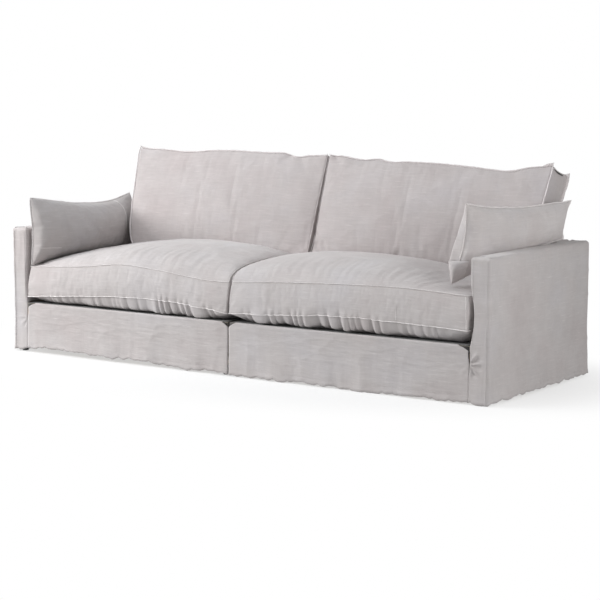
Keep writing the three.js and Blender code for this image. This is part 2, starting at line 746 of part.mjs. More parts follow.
function pillowForm(label, side, grid) {
  const places = pillowPlaces[label];
  const names = ['bottomFront', 'topFront', 'topRear', 'bottomRear'];
  const [bottomFront, topFront, topRear, bottomRear] = names.map((name) => pillowCorner(label, side, name));
  const halfLength = bottomFront.distanceTo(bottomRear) / 2;
  const halfHeight = bottomFront.distanceTo(topFront) / 2;
  const outward = topRear.clone().sub(bottomFront).cross(topFront.clone().sub(bottomRear)).normalize();
  if (outward.x * side < 0) outward.negate();
  const place = (u, v, out) => {
    const [x, y] = panelPlace(u, v, halfLength, halfHeight, pillow.drawnIn, pillow.cornerEase);
    const [s, t] = [0.5 + x / (2 * halfLength), 0.5 + y / (2 * halfHeight)];
    const low = bottomFront.clone().lerp(bottomRear, s);
    const high = topFront.clone().lerp(topRear, s);
    return low.lerp(high, t).addScaledVector(outward, out);
  };
  const rise = (u, v) => crownRise(u, v, pillow.crownShare);
  return cushionGeometry(grid, {
    upper: (u, v) => place(u, v, pillow.seam / 2 + places.outerCrown * rise(u, v)),
    lower: (u, v) => place(u, v, -pillow.seam / 2 - places.innerCrown * rise(u, v)),
  });
}

function addCushions(parent, side, label) {
  const pillowPress = (depth) => grown(pillowForm(label, side, mesh.pillowSteps), depth);
  const x = (...distances) => distances.map((distance) => side * distance);
  const middle = (half.inner + armInner) / 2;
  const zipHalf = (shell.zipShare * (armInner - half.inner)) / 2;
  const seatZipZ = (lowerSeam + upperSeam) / 2;
  const seatZip = block(
    x(middle - zipHalf, middle + zipHalf),
    [seatRear - seat.drawnIn - 2 * shell.wall, seatRear + overrun],
    [seatZipZ - shell.zipHeight / 2, seatZipZ + shell.zipHeight / 2],
  );
  addCushion(
    parent, `${label}_seat_cushion_cover`, `${label}_seat_cushion_core`,
    seatForm(label, side, mesh.seatSteps), seatForm(label, side, mesh.innerSteps),
    [backPress, pillowPress], seatZip,
  );

  const leaning = new THREE.Group();
  leaning.applyMatrix4(backCushionPlace());
  parent.add(leaning);
  const [innerEdge, outerEdge] = backCushionEdges(label, side);
  const backMiddle = (innerEdge + outerEdge) / 2;
  const backZipHalf = (shell.zipShare * Math.abs(outerEdge - innerEdge)) / 2;
  const backZipZ = -backCushion.thickness / 2;
  const backZip = block(
    [backMiddle - backZipHalf, backMiddle + backZipHalf],
    [-overrun, backCushion.drawnIn + 2 * shell.wall],
    [backZipZ - shell.zipHeight / 2, backZipZ + shell.zipHeight / 2],
  );
  addCushion(
    leaning, `${label}_back_cushion_cover`, `${label}_back_cushion_filling`,
    backForm(label, side, mesh.backSteps), backForm(label, side, mesh.innerSteps), [], backZip,
  );

  const footFront = pillowCorner(label, side, 'bottomFront');
  const footRear = pillowCorner(label, side, 'bottomRear');
  const foot = footFront.clone().lerp(footRear, 0.5);
  const pillowZipHalf = ((footRear.y - footFront.y) * shell.zipShare) / 2;
  const pillowZip = block(
    [foot.x - shell.zipHeight / 2, foot.x + shell.zipHeight / 2],
    [foot.y - pillowZipHalf, foot.y + pillowZipHalf],
    [foot.z - overrun, foot.z + pillow.drawnIn + 2 * shell.wall],
  );
  const pillowPresses = [armPress(side), besideBackPress(label, side)];
  addCushion(
    parent, `${label}_arm_pillow_cover`, `${label}_arm_pillow_filling`,
    pillowForm(label, side, mesh.pillowSteps), pillowForm(label, side, mesh.innerSteps),
    pillowPresses, pillowZip,
  );
}

const halves = { left: -1, right: 1 };
const groups = {};
for (const [label, side] of Object.entries(halves)) {
  const group = new THREE.Group();
  groups[label] = group;
  sofa.add(group);
  addFrame(group, side, label);
  addGlides(group, side, label);
  addWebbing(group, side, label);
  addPads(group, side, label);
  addSlipcover(group, side, label);
  addCushions(group, side, label);
}
addConnector(groups.left, groups.right);

// The origin is the middle of the footprint, from the seat cushions' overhang to the rear hem.
sofa.position.y = -(overallDepth + cover.hemFlare - seat.overhang) / 2;

export default sofa;
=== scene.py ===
# Looks of a two-piece slipcovered sofa: the loose linen over its frame, its cushions and pillows, the
# materials of what is inside, a pale studio and the photograph's camera.
# Metres. X runs along the sofa, Y to its back, Z up; the origin is the middle of its footprint.

import json
import math

import bmesh
import bpy
import numpy as np
from mathutils import Matrix, Vector, noise
from mathutils.bvhtree import BVHTree


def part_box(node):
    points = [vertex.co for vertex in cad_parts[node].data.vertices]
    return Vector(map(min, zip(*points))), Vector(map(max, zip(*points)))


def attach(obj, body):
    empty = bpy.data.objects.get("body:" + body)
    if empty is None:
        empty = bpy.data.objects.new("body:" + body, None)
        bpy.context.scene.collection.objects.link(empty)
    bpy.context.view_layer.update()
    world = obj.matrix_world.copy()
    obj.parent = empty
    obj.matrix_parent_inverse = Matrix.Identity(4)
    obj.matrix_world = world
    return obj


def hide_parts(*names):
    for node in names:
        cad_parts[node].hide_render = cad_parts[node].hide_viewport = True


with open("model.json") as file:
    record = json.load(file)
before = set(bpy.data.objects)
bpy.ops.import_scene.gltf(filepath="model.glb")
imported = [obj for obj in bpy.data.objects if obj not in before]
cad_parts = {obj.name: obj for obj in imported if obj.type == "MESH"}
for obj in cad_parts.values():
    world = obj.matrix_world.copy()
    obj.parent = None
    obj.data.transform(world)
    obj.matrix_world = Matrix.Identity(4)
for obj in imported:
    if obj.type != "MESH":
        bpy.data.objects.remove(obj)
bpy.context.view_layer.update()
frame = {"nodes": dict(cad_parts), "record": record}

scene = bpy.context.scene

# Timber frame. Planed pine rails and posts, glued and screwed, make each half's box; the solids from the
# frame stay and get pine with its grain along the boards.

PINE_DARK = (0.42, 0.27, 0.14)
PINE_LIGHT = (0.66, 0.47, 0.28)
PINE_GRAIN_DEPTH = 0.0006


def new_material(name, roughness, sheen=0.0):
    material = bpy.data.materials.new(name)
    material.use_nodes = True
    shader = material.node_tree.nodes["Principled BSDF"]
    shader.inputs["Roughness"].default_value = roughness
    if sheen:
        shader.inputs["Sheen Weight"].default_value = sheen
        shader.inputs["Sheen Roughness"].default_value = 0.5
    return material, shader


class Nodes:
    """Short calls for the nodes of one material or node group."""

    def __init__(self, tree):
        self.tree = tree

    def node(self, kind, **values):
        made = self.tree.nodes.new(kind)
        for key, value in values.items():
            setattr(made, key, value)
        return made

    def link(self, output, socket):
        self.tree.links.new(output, socket)

    def coordinates(self, kind, stretch):
        """Cloth or object coordinates, multiplied along each axis."""
        mapping = self.node("ShaderNodeMapping")
        mapping.inputs["Scale"].default_value = stretch
        if kind == "cloth":
            self.link(self.node("ShaderNodeUVMap", uv_map="cloth").outputs["UV"], mapping.inputs["Vector"])
        else:
            self.link(self.node("ShaderNodeTexCoord").outputs["Object"], mapping.inputs["Vector"])
        return mapping.outputs["Vector"]

    def noise(self, where, scale, detail=2, roughness=0.5):
        made = self.node("ShaderNodeTexNoise")
        if isinstance(scale, (int, float)):
            made.inputs["Scale"].default_value = scale
        else:
            self.link(scale, made.inputs["Scale"])
        made.inputs["Detail"].default_value = detail
        made.inputs["Roughness"].default_value = roughness
        self.link(where, made.inputs["Vector"])
        return made.outputs["Fac"]

    def wave(self, where, scale, direction, distortion=0.0):
        made = self.node("ShaderNodeTexWave", bands_direction=direction)
        made.inputs["Scale"].default_value = scale
        made.inputs["Distortion"].default_value = distortion
        self.link(where, made.inputs["Vector"])
        return made.outputs["Fac"]

    def math(self, operation, *values):
        made = self.node("ShaderNodeMath", operation=operation)
        for socket, value in zip(made.inputs, values):
            if isinstance(value, (int, float)):
                socket.default_value = value
            else:
                self.link(value, socket)
        return made.outputs[0]

    def ramp(self, factor, stops):
        made = self.node("ShaderNodeValToRGB")
        elements = made.color_ramp.elements
        for element, (position, color) in zip(elements, (stops[0], stops[-1])):
            element.position = position
            element.color = (*color, 1)
        for position, color in stops[1:-1]:
            elements.new(position).color = (*color, 1)
        self.link(factor, made.inputs["Fac"])
        return made.outputs["Color"]

    def spread_out(self, value, low, high):
        """A value between low and high, stretched to 0 to 1."""
        made = self.node("ShaderNodeMapRange")
        made.inputs["From Min"].default_value = low
        made.inputs["From Max"].default_value = high
        self.link(value, made.inputs["Value"])
        return made.outputs["Result"]

    def mixed(self, factor, a, b, blend="MIX"):
        made = self.node("ShaderNodeMix", data_type="RGBA", blend_type=blend)
        for socket, value in ((made.inputs[0], factor), (made.inputs[6], a), (made.inputs[7], b)):
            if isinstance(value, (int, float)):
                socket.default_value = value
            elif isinstance(value, tuple):
                socket.default_value = (*value, 1)
            else:
                self.link(value, socket)
        return made.outputs[2]

    def bump(self, height, strength, distance, before=None):
        made = self.node("ShaderNodeBump")
        made.inputs["Strength"].default_value = strength
        if isinstance(distance, (int, float)):
            made.inputs["Distance"].default_value = distance
        else:
            self.link(distance, made.inputs["Distance"])
        self.link(height, made.inputs["Height"])
        if before is not None:
            self.link(before, made.inputs["Normal"])
        return made.outputs["Normal"]


def dress_nodes(slot, material):
    """Gives a material to the solids whose finish has the given slot."""
    for part in frame["record"]["subparts"]:
        if part["material_slot"] == slot:
            node = frame["nodes"][part["node"]]
            node.data.materials.clear()
            node.data.materials.append(material)


def wood_material():
    material, shader = new_material("planed_pine", 0.6)
    n = Nodes(material.node_tree)
    grain = n.wave(n.coordinates("object", (6, 6, 14)), 2.2, "DIAGONAL", 6)
    fine = n.noise(n.coordinates("object", (8, 90, 90)), 4, 4)
    tone = n.math("ADD", n.math("MULTIPLY", grain, 0.5), n.math("MULTIPLY", fine, 0.5))
    n.link(n.ramp(tone, [(0.2, PINE_DARK), (0.8, PINE_LIGHT)]), shader.inputs["Base Color"])
    n.link(n.bump(fine, 0.3, PINE_GRAIN_DEPTH), shader.inputs["Normal"])
    return material


dress_nodes("timber", wood_material())


# Seat webbing. Black woven elastic belts, stretched over the rails and interlaced, carry the seat. The
# belts from the frame stay and get a ribbed, faintly striped weave.

WEBBING_DARK = (0.018, 0.015, 0.013)
WEBBING_LIGHT = (0.075, 0.062, 0.052)
WEBBING_RIB_DEPTH = 0.0008


def webbing_material():
    material, shader = new_material("seat_webbing", 0.85)
    n = Nodes(material.node_tree)
    ribs = n.wave(n.coordinates("object", (1, 1, 1)), 90, "DIAGONAL")
    stripe = n.noise(n.coordinates("object", (300, 300, 10)), 1)
    tone = n.math("ADD", n.math("MULTIPLY", ribs, 0.5), n.math("MULTIPLY", stripe, 0.5))
    n.link(n.ramp(tone, [(0.2, WEBBING_DARK), (0.8, WEBBING_LIGHT)]), shader.inputs["Base Color"])
    n.link(n.bump(ribs, 0.6, WEBBING_RIB_DEPTH), shader.inputs["Normal"])
    return material


dress_nodes("webbing", webbing_material())


# Foam, fillings, glides and the connector. The pads are cut foam, the cushions' fillings are fibre in
# ticking, the glides under the hem are moulded plastic, and the push-together connector is plated steel.

def node_group(name, inputs, outputs):
    """An empty node group with named sockets: its nodes, its input node and its output node."""
    group = bpy.data.node_groups.new(name, "ShaderNodeTree")
    for label, value in inputs.items():
        kind = "NodeSocketFloat" if isinstance(value, float) else "NodeSocketColor"
        socket = group.interface.new_socket(name=label, in_out="INPUT", socket_type=kind)
        socket.default_value = value if isinstance(value, float) else (*value, 1)
    for label, kind in outputs.items():
        group.interface.new_socket(name=label, in_out="OUTPUT", socket_type=kind)
    n = Nodes(group)
    return n, n.node("NodeGroupInput"), n.node("NodeGroupOutput")


def placed_group(name, material, shader, **values):
    """Places a node group in a material, with the material's own values, for its colour and normal."""
    n = Nodes(material.node_tree)
    placed = n.node("ShaderNodeGroup", node_tree=bpy.data.node_groups[name])
    for label, value in values.items():
        placed.inputs[label].default_value = value if isinstance(value, float) else (*value, 1)
    n.link(placed.outputs["Color"], shader.inputs["Base Color"])
    n.link(placed.outputs["Normal"], shader.inputs["Normal"])


def make_fine_grain():
    """The node group of an even surface with a fine grain, as on foam, plastic or plated steel."""
    n, given, result = node_group(
        "fine_grain", {"Dark": (0.1, 0.1, 0.1), "Light": (0.2, 0.2, 0.2), "Scale": 100.0, "Depth": 0.001},
        {"Color": "NodeSocketColor", "Normal": "NodeSocketVector"},
    )
    grain = n.noise(n.coordinates("object", (1, 1, 1)), given.outputs["Scale"], 4, 0.6)
    color = n.mixed(n.spread_out(grain, 0.3, 0.7), given.outputs["Dark"], given.outputs["Light"])
    n.link(color, result.inputs["Color"])
    n.link(n.bump(grain, 0.4, given.outputs["Depth"]), result.inputs["Normal"])


def grained_material(name, dark, light, size, roughness, metallic=0.0, depth=0.0006):
    material, shader = new_material(name, roughness)
    shader.inputs["Metallic"].default_value = metallic
    placed_group("fine_grain", material, shader, Dark=dark, Light=light, Scale=1 / size, Depth=depth)
    return material


make_fine_grain()
cut_foam = grained_material("cut_foam", (0.66, 0.58, 0.42), (0.82, 0.75, 0.6), 0.004, 0.95, depth=0.002)
dress_nodes("foam", cut_foam)
soft_fibre = grained_material("soft_fibre", (0.72, 0.7, 0.65), (0.88, 0.86, 0.82), 0.01, 0.95, depth=0.004)
dress_nodes("filling", soft_fibre)
glide_plastic = grained_material("glide_plastic", (0.008, 0.008, 0.009), (0.02, 0.02, 0.022), 0.002, 0.45)
dress_nodes("glide", glide_plastic)
plated_steel = grained_material("plated_steel", (0.4, 0.4, 0.42), (0.6, 0.6, 0.61), 0.004, 0.38,
                                metallic=1.0)
dress_nodes("connector", plated_steel)


# Washed linen. Every cover is a loose, pale grey linen: a plain weave with uneven slub yarns, mottled
# from washing and lightly creased. Seams are the same cloth with a stitched line, painted a little paler
# as a painted highlight of the light that their raised edges catch.

# How washing tints the cloth in wide patches and in small blotches, from most worn to least.
WARM_PATCH = (0.955, 0.93, 0.93)
EVEN_PATCH = (1.0, 1.0, 1.0)
COOL_PATCH = (1.015, 1.03, 1.055)
DARK_BLOTCH = (0.945, 0.94, 0.94)
PALE_BLOTCH = (1.03, 1.03, 1.03)

# How much paler slub yarns and stitching thread are than the cloth.
SLUB_GAIN = (1.25, 1.25, 1.25)
THREAD_GAIN = (1.16, 1.16, 1.16)


def make_linen_weave():
    """The node group of the linen: its colour and normal from the cloth's own coordinates."""
    n, given, result = node_group(
        "linen_weave", {"Light": (0.5, 0.5, 0.5), "Dark": (0.4, 0.4, 0.4), "Stitches": 0.0},
        {"Color": "NodeSocketColor", "Normal": "NodeSocketVector"},
    )
    light, dark = given.outputs["Light"], given.outputs["Dark"]
    along = n.coordinates("cloth", (18, 900, 1))
    across = n.coordinates("cloth", (900, 22, 1))
    plain = n.coordinates("cloth", (1, 1, 1))
    solid = n.coordinates("object", (1, 1, 1))
    slub_along = n.noise(along, 1.0, 3, 0.6)
    slub_across = n.noise(across, 1.0, 3, 0.6)
    patches = n.noise(solid, 3.0, 3, 0.55)
    streak_along = n.noise(n.coordinates("cloth", (8, 110, 1)), 1.0, 4, 0.75)
    streak_across = n.noise(n.coordinates("cloth", (90, 6, 1)), 1.0, 4, 0.75)
    yarns = n.math("ADD", n.math("MULTIPLY", slub_along, 0.5), n.math("MULTIPLY", slub_across, 0.5))
    streaks = n.math("ADD", n.math("MULTIPLY", streak_along, 0.7), n.math("MULTIPLY", streak_across, 0.3))
    tone = n.math("ADD", n.math("MULTIPLY", yarns, 0.35), n.math("MULTIPLY", streaks, 0.65))
    color = n.mixed(n.spread_out(tone, 0.34, 0.66), dark, light)
    slub = n.noise(n.coordinates("cloth", (14, 180, 1)), 1.0, 1, 0.4)
    slub = n.math("MAXIMUM", n.math("SUBTRACT", slub, 0.62), 0.0)
    stray = n.noise(n.coordinates("cloth", (200, 10, 1)), 1.0, 1, 0.4)
    stray = n.math("MAXIMUM", n.math("SUBTRACT", stray, 0.65), 0.0)
    pale = n.mixed(1.0, light, SLUB_GAIN, "MULTIPLY")
    slubs = n.math("ADD", slub, n.math("MULTIPLY", stray, 0.35))
    color = n.mixed(n.math("MULTIPLY", slubs, 2.2), color, pale)
    washed = n.ramp(patches, [(0.3, WARM_PATCH), (0.5, EVEN_PATCH), (0.7, COOL_PATCH)])
    color = n.mixed(1.0, color, washed, "MULTIPLY")
    blotches = n.ramp(n.noise(solid, 11.0, 3, 0.6), [(0.3, DARK_BLOTCH), (0.68, PALE_BLOTCH)])
    color = n.mixed(1.0, color, blotches, "MULTIPLY")
    warp = n.wave(plain, 230, "X", 1.5)
    weft = n.wave(plain, 230, "Y", 1.5)
    weave = n.math("ADD", n.math("MULTIPLY", warp, 0.5), n.math("MULTIPLY", weft, 0.5))
    dash = n.math("GREATER_THAN", n.wave(plain, 45, "X"), 0.45)
    thread = n.mixed(1.0, light, THREAD_GAIN, "MULTIPLY")
    color = n.mixed(n.math("MULTIPLY", dash, given.outputs["Stitches"]), color, thread)
    pressed = n.noise(n.coordinates("cloth", (5, 38, 1)), 1.0, 4, 0.65)
    bump = n.bump(n.noise(solid, 22, 3, 0.6), 0.25, 0.004)
    bump = n.bump(pressed, 0.5, 0.005, bump)
    bump = n.bump(n.math("ADD", yarns, streaks), 0.22, 0.0007, bump)
    bump = n.bump(weave, 0.15, 0.0003, bump)
    n.link(color, result.inputs["Color"])
    n.link(bump, result.inputs["Normal"])


def linen_material(name, light, dark, stitches):
    material, shader = new_material(name, 0.92, sheen=0.25)
    placed_group("linen_weave", material, shader, Light=light, Dark=dark, Stitches=stitches)
    return material


make_linen_weave()
linen = linen_material("washed_linen", (0.575, 0.541, 0.534), (0.492, 0.462, 0.456), 0.0)
# The seams' cloth is painted paler than the linen, a painted highlight of the light that their raised edges
# catch; its stitches are paler thread.
seam_highlight_linen = linen_material("linen_seam_highlight", (0.74, 0.71, 0.7), (0.64, 0.61, 0.6), 1.0)


def finished(piece, material, body, replaced=()):
    """Gives a sewn piece its material and body, and hides the nodes that it stands for."""
    piece.data.materials.clear()
    piece.data.materials.append(material)
    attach(piece, body)
    if replaced:
        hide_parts(*replaced)


# Arm covers. Each arm is a foam-padded box under a loose linen cover that drops over the outside to the
# floor, with felled seams down its front edges and a stitched hem; a slit parts it from the front skirt.

# The sofa's main planes: where its arms, front, rear, back and deck lie.
SIDES = {"left": -1, "right": 1}
OUTER = 1.3
ARM = 0.09
ARM_INNER = OUTER - ARM
DEPTH = 0.915
FRONT = -0.454
REAR = FRONT + DEPTH
BACK_DEPTH = 0.135
BACK_FRONT = REAR - BACK_DEPTH
HEIGHT = 0.6
DECK = 0.241

# How the hem hangs and flares, and how the cover's edges turn.
HEM = 0.008
HEM_FLARE = 0.008
FOLD_DEPTH = 0.005
FOLD_PITCH = 0.24
SHOULDER = 0.014
SHOULDER_ANGLES = (0, 0.4, 0.8, 1.2, math.pi / 2)
CORNER = 0.008
CLOTH = 0.002
HEM_TURN = 0.025
HEM_THICKNESS = 0.001
HEM_WAVE = 0.006
INNER_TUCK = 0.0006
FRONT_TUCK = 0.001
SIDE_HEM = 0.01
LOOSE_FOLDS = 0.006
LOOSE_ABOVE_DECK = 0.12
SPACING = 0.012

# The slit between the arm's front and the skirt: the height of its foot, the creases that fan out from
# there, and how far from it the two are sewn flush.
SLIT_FOOT = 0.165
SLIT_PUCKERS = {"left": 0.3, "right": 1.25}
PUCKER_DEPTH = 0.007
PUCKER_RADIUS = 0.028
PUCKER_WIDTH = 0.022
JOIN_REACH = 0.022

# Loose linen's slow swells and its sharper creases: how far they rise, and their size along each axis.
SWELLS = [(0.0020, (0.22, 0.22, 0.3)), (0.0010, (0.07, 0.07, 0.11))]
CREASES = [(0.0016, (0.3, 0.3, 0.16)), (0.0012, (0.1, 0.1, 0.34))]
CREASE_SHARPNESS = 6

# How the arms' inner front edges are pulled aside by the seat cushions, and where their seams lie.
ARM_PULL = {"left": 0.4 * 0.019, "right": 0.019}
ARM_PULL_FOOT = 0.23
ARM_PULL_HEIGHT = 0.25
ARM_PULL_DEPTH = 0.13
SEAM_INSET = 0.013
RIDGE_INSET = 0.012

# Added to a distance where a seam isn't, so that it leaves no ridge there.
ELSEWHERE = 10

# How high the hem hangs at the front, as (distance from the sofa's middle, height) pairs.
FRONT_HEM = {
    "left": [(0, 0.009), (0.065, 0.011), (0.2, 0.007), (0.27, 0.003), (0.34, 0.008), (0.41, 0.014),
             (0.48, 0.021), (0.62, 0.018), (0.675, 0.012), (0.73, 0.022), (0.9, 0.018), (0.997, 0.029),
             (1.15, 0.021), (1.2, 0.02), (1.26, 0.009), (1.3, 0.008)],
    "right": [(0, 0.004), (0.25, 0.003), (0.4, 0.006), (0.58, 0.002), (1.05, 0.005), (1.3, 0.003)],
}


class Shell:
    """Points, faces and cloth coordinates of one piece, gathered panel by panel."""

    def __init__(self):
        self.points = []
        self.faces = []
        self.cloth = []

    def add(self, places):
        """Adds an array of points and returns their numbers in the same arrangement."""
        places = np.asarray(places, dtype=float)
        start = len(self.points)
        self.points += places.reshape(-1, 3).tolist()
        return np.arange(start, len(self.points)).reshape(places.shape[:-1])

    def panel(self, numbers, cloth, keep=None):
        """Adds the faces of a grid of points. cloth gives each point's place on the cut fabric."""
        for i in range(numbers.shape[0] - 1):
            for j in range(numbers.shape[1] - 1):
                if keep is not None and not keep[i, j]:
                    continue
                cells = [(i, j), (i + 1, j), (i + 1, j + 1), (i, j + 1)]
                self.faces.append([int(numbers[cell]) for cell in cells])
                self.cloth.append([tuple(cloth[cell]) for cell in cells])

    def make(self, name):
        """The object, with its cloth coordinates as a UV map."""
        mesh = bpy.data.meshes.new(name)
        mesh.from_pydata(self.points, [], self.faces)
        layer = mesh.uv_layers.new(name="cloth")
        layer.data.foreach_set("uv", np.array(self.cloth, dtype=float).ravel())
        mesh.validate()
        piece = bpy.data.objects.new(name, mesh)
        scene.collection.objects.link(piece)
        smooth(piece)
        return piece


def smooth(piece):
    piece.data.polygons.foreach_set("use_smooth", [True] * len(piece.data.polygons))


def points_of(piece):
    places = np.empty(len(piece.data.vertices) * 3)
    piece.data.vertices.foreach_get("co", places)
    return places.reshape(-1, 3)


def set_points(piece, places):
    piece.data.vertices.foreach_set("co", np.ascontiguousarray(places).ravel())
    piece.data.update()


def normals_of(piece):
    normals = np.empty(len(piece.data.vertices) * 3)
    piece.data.vertices.foreach_get("normal", normals)
    return normals.reshape(-1, 3)


def turn_to(piece, axis, way):
    """Turns an open piece's faces to look along an axis, up it where way is 1 and down it where -1."""
    if normals_of(piece)[:, axis].mean() * way < 0:
        piece.data.flip_normals()


def noise_at(places, size, seed):
    """Smooth noise, from -1 to 1, whose features have the given size along each axis."""
    scaled = places / np.asarray(size) + seed * np.array([17.3, 5.1, 9.7])
    return np.array([noise.noise(place) for place in scaled.tolist()])


def creases_at(places, size, seed, sharpness):
    """Narrow ridges along the zero lines of noise: 1 on a ridge and near 0 elsewhere."""
    return np.maximum(0, 1 - 2.2 * np.abs(noise_at(places, size, seed))) ** sharpness


def ease(values, low, high):
    """0 below low and 1 above high, with an easy turn between."""
    share = np.clip((values - low) / (high - low), 0, 1)
    return share * share * (3 - 2 * share)


def curve(pairs, at):
    """A smooth curve through a few (place, value) pairs."""
    places, values = np.array(pairs, dtype=float).T
    slopes = np.gradient(values, places)
    at = np.clip(at, places[0], places[-1])
    k = np.clip(np.searchsorted(places, at) - 1, 0, len(places) - 2)
    width = places[k + 1] - places[k]
    t = (at - places[k]) / width
    before = values[k] * (1 + 2 * t) * (1 - t) ** 2 + slopes[k] * width * t * (1 - t) ** 2
    after = values[k + 1] * (3 - 2 * t) * t ** 2 - slopes[k + 1] * width * t ** 2 * (1 - t)
    return before + after


def flare_at(z, run):
    """How far a hanging cover stands out at a height, in soft folds along its run."""
    drop = np.clip((DECK - z) / (DECK - HEM), 0, None)
    fold = 0.5 - 0.5 * np.cos(2 * math.pi * run / FOLD_PITCH)
    return drop ** 2 * (HEM_FLARE - FOLD_DEPTH * fold)


def plan_ring(low, high):
    """Points round a rectangle with small round corners: place, outward direction and run, as arrays."""
    places, outward = [], []
    corners = [(low[0], low[1]), (high[0], low[1]), (high[0], high[1]), (low[0], high[1])]
    middle = ((low[0] + high[0]) / 2, (low[1] + high[1]) / 2)
    for k, corner in enumerate(corners):
        centre = [c + math.copysign(CORNER, m - c) for c, m in zip(corner, middle)]
        after = corners[(k + 1) % 4]
        after_centre = [c + math.copysign(CORNER, m - c) for c, m in zip(after, middle)]
        start = math.pi * (1 + k / 2)
        for step in range(4):
            angle = start + math.pi / 2 * step / 3
            direction = (math.cos(angle), math.sin(angle))
            places.append([c + CORNER * d for c, d in zip(centre, direction)])
            outward.append(direction)
        end = start + math.pi / 2
        direction = (round(math.cos(end)), round(math.sin(end)))
        length = math.dist(centre, after_centre)
        steps = max(18, round(length / SPACING))
        for step in range(1, steps):
            share = step / steps
            places.append([a + (b - a) * share + CORNER * d
                           for a, b, d in zip(centre, after_centre, direction)])
            outward.append(direction)
    places, outward = np.array(places), np.array(outward)
    run = np.r_[0, np.cumsum(np.linalg.norm(np.diff(places, axis=0), axis=1))]
    return places, outward, run


def clean_up(piece):
    """Merges points that meet, and drops the loose ones."""
    mesh = bmesh.new()
    mesh.from_mesh(piece.data)
    bmesh.ops.remove_doubles(mesh, verts=mesh.verts, dist=0.00005)
    loose = [vertex for vertex in mesh.verts if not vertex.link_faces]
    bmesh.ops.delete(mesh, geom=loose, context="VERTS")
    mesh.to_mesh(piece.data)
    mesh.free()
    smooth(piece)


def thickened(piece, thickness=CLOTH):
    solidify = piece.modifiers.new("cloth_thickness", "SOLIDIFY")
    solidify.thickness = thickness
    solidify.offset = -1
    return piece


def slipcover_levels(top):
    """Heights of the rows of points, closer together round the foot of the slits."""
    return np.r_[np.arange(HEM, 0.11, SPACING), np.arange(0.11, 0.22, 0.005), np.arange(0.22, top, SPACING)]


def upholstered_wall(name, low, high, drape, keep):
    """The cover of an arm or of the back, from its hem up and over its top. drape(places, outward, run)
    moves its points, and keep(middles, outward) says which faces the cover has."""
    places, outward, run = plan_ring(low, high)
    levels = [(z, 0.0) for z in slipcover_levels(HEIGHT - SHOULDER)]
    for angle in SHOULDER_ANGLES:
        levels.append((HEIGHT - SHOULDER * (1 - math.sin(angle)), SHOULDER * (1 - math.cos(angle))))
    size = np.subtract(high, low)
    long_axis = int(size[1] > size[0])
    half_width = size.min() / 2
    centre = np.add(low, high) / 2
    spine = np.tile(centre, (len(places), 1))
    spine_start = low[long_axis] + half_width
    spine_end = high[long_axis] - half_width
    spine[:, long_axis] = np.clip(places[:, long_axis], spine_start, spine_end)
    rows, heights = [], []
    for z, inset in levels:
        rows.append(np.column_stack([places - outward * inset, np.full(len(places), z)]))
        heights.append(z + inset)
    rim = rows[-1]
    for share in np.linspace(0, 1, 6)[1:]:
        row = rim.copy()
        row[:, :2] += (spine - rim[:, :2]) * share
        rows.append(row)
        heights.append(heights[len(levels) - 1] + half_width * share)
    grid = np.array(rows)
    flat = grid.reshape(-1, 3)
    outward_flat = np.tile(outward, (len(rows), 1))
    run_flat = np.tile(run, len(rows))
    moved = drape(flat, outward_flat, run_flat).reshape(grid.shape)
    shell = Shell()
    numbers = shell.add(moved)
    numbers = np.hstack([numbers, numbers[:, :1]])
    ends = np.r_[run, run[-1] + SPACING]
    cloth = np.stack(np.meshgrid(heights, ends, indexing="ij")[::-1], axis=-1)
    middles = grid[:-1] * 0.5 + grid[1:] * 0.5
    chosen = keep(middles, outward)
    shell.panel(numbers.swapaxes(0, 1), cloth.swapaxes(0, 1), chosen.swapaxes(0, 1))
    cover = shell.make(name)
    clean_up(cover)
    return cover


def linen_relief(places, seed):
    """The rise and fall of loose linen over a flat face: slow swells and a few sharper creases."""
    swell = sum(rise * noise_at(places, size, seed + k) for k, (rise, size) in enumerate(SWELLS))
    crease = sum(rise * creases_at(places, size, seed + 2 + k, CREASE_SHARPNESS)
                 for k, (rise, size) in enumerate(CREASES))
    return swell + crease


def top_relief(places, seed):
    """The gentler rise and fall of the linen over a padded top."""
    return 0.6 * linen_relief(places, seed + 20) - 0.001


def skirt_relief(places, run, seed):
    """Loose folds that grow towards the hem."""
    z = places[:, 2]
    loose_from = DECK + LOOSE_ABOVE_DECK
    drop = np.clip((loose_from - z) / loose_from, 0, 1)
    along = np.column_stack([run, np.zeros_like(run), z])
    folds = noise_at(along, (0.09, 1, 0.9), seed) + 0.5 * noise_at(along, (0.04, 1, 0.5), seed + 4)
    return flare_at(z, run) + LOOSE_FOLDS * drop ** 2 * folds


def hem_rise(places, run, seed, height=SIDE_HEM):
    """How far to lift the lowest part of the skirt, so that its hem hangs unevenly at about a height."""
    along = np.column_stack([run, np.zeros_like(run), np.zeros_like(run)])
    uneven = noise_at(along, (0.06, 1, 1), seed) + noise_at(along, (0.028, 1, 1), seed + 2)
    uneven += creases_at(along, (0.08, 1, 1), seed + 3, 3)
    lift = np.maximum(height + HEM_WAVE * uneven, 0.001) - HEM
    share = np.clip((0.1 - places[:, 2]) / (0.1 - HEM), 0, 1)
    return lift * share


def flush_at_join(relief, distance, z):
    """Brings the skirt and the arm's front to the same plane where they are sewn, below the slit."""
    drop = np.clip((DECK - z) / DECK, 0, 1)
    near = np.exp(-(distance / JOIN_REACH) ** 2)
    return relief * (1 - near) + 0.004 * drop ** 2 * near


def slit_puckers(x, z):
    """Creases that fan out from the foot of the slit between the skirt and the arm."""
    up = z - SLIT_FOOT
    distance = np.hypot(x, up)
    angle = np.arctan2(up, x)
    near = np.exp(-((distance - PUCKER_RADIUS) / PUCKER_WIDTH) ** 2)
    return PUCKER_DEPTH * np.sin(8 * angle + 0.6) * near


def seam_ridge(distance, width=0.006, height=0.0022):
    """A felled seam's slight ridge, from the distance to its line."""
    return height * np.exp(-(distance / width) ** 2)


def hem_groove(z):
    """The slight groove where the hem's turning is stitched down."""
    return seam_ridge(np.abs(z - HEM - HEM_TURN), 0.004, 0.0012)


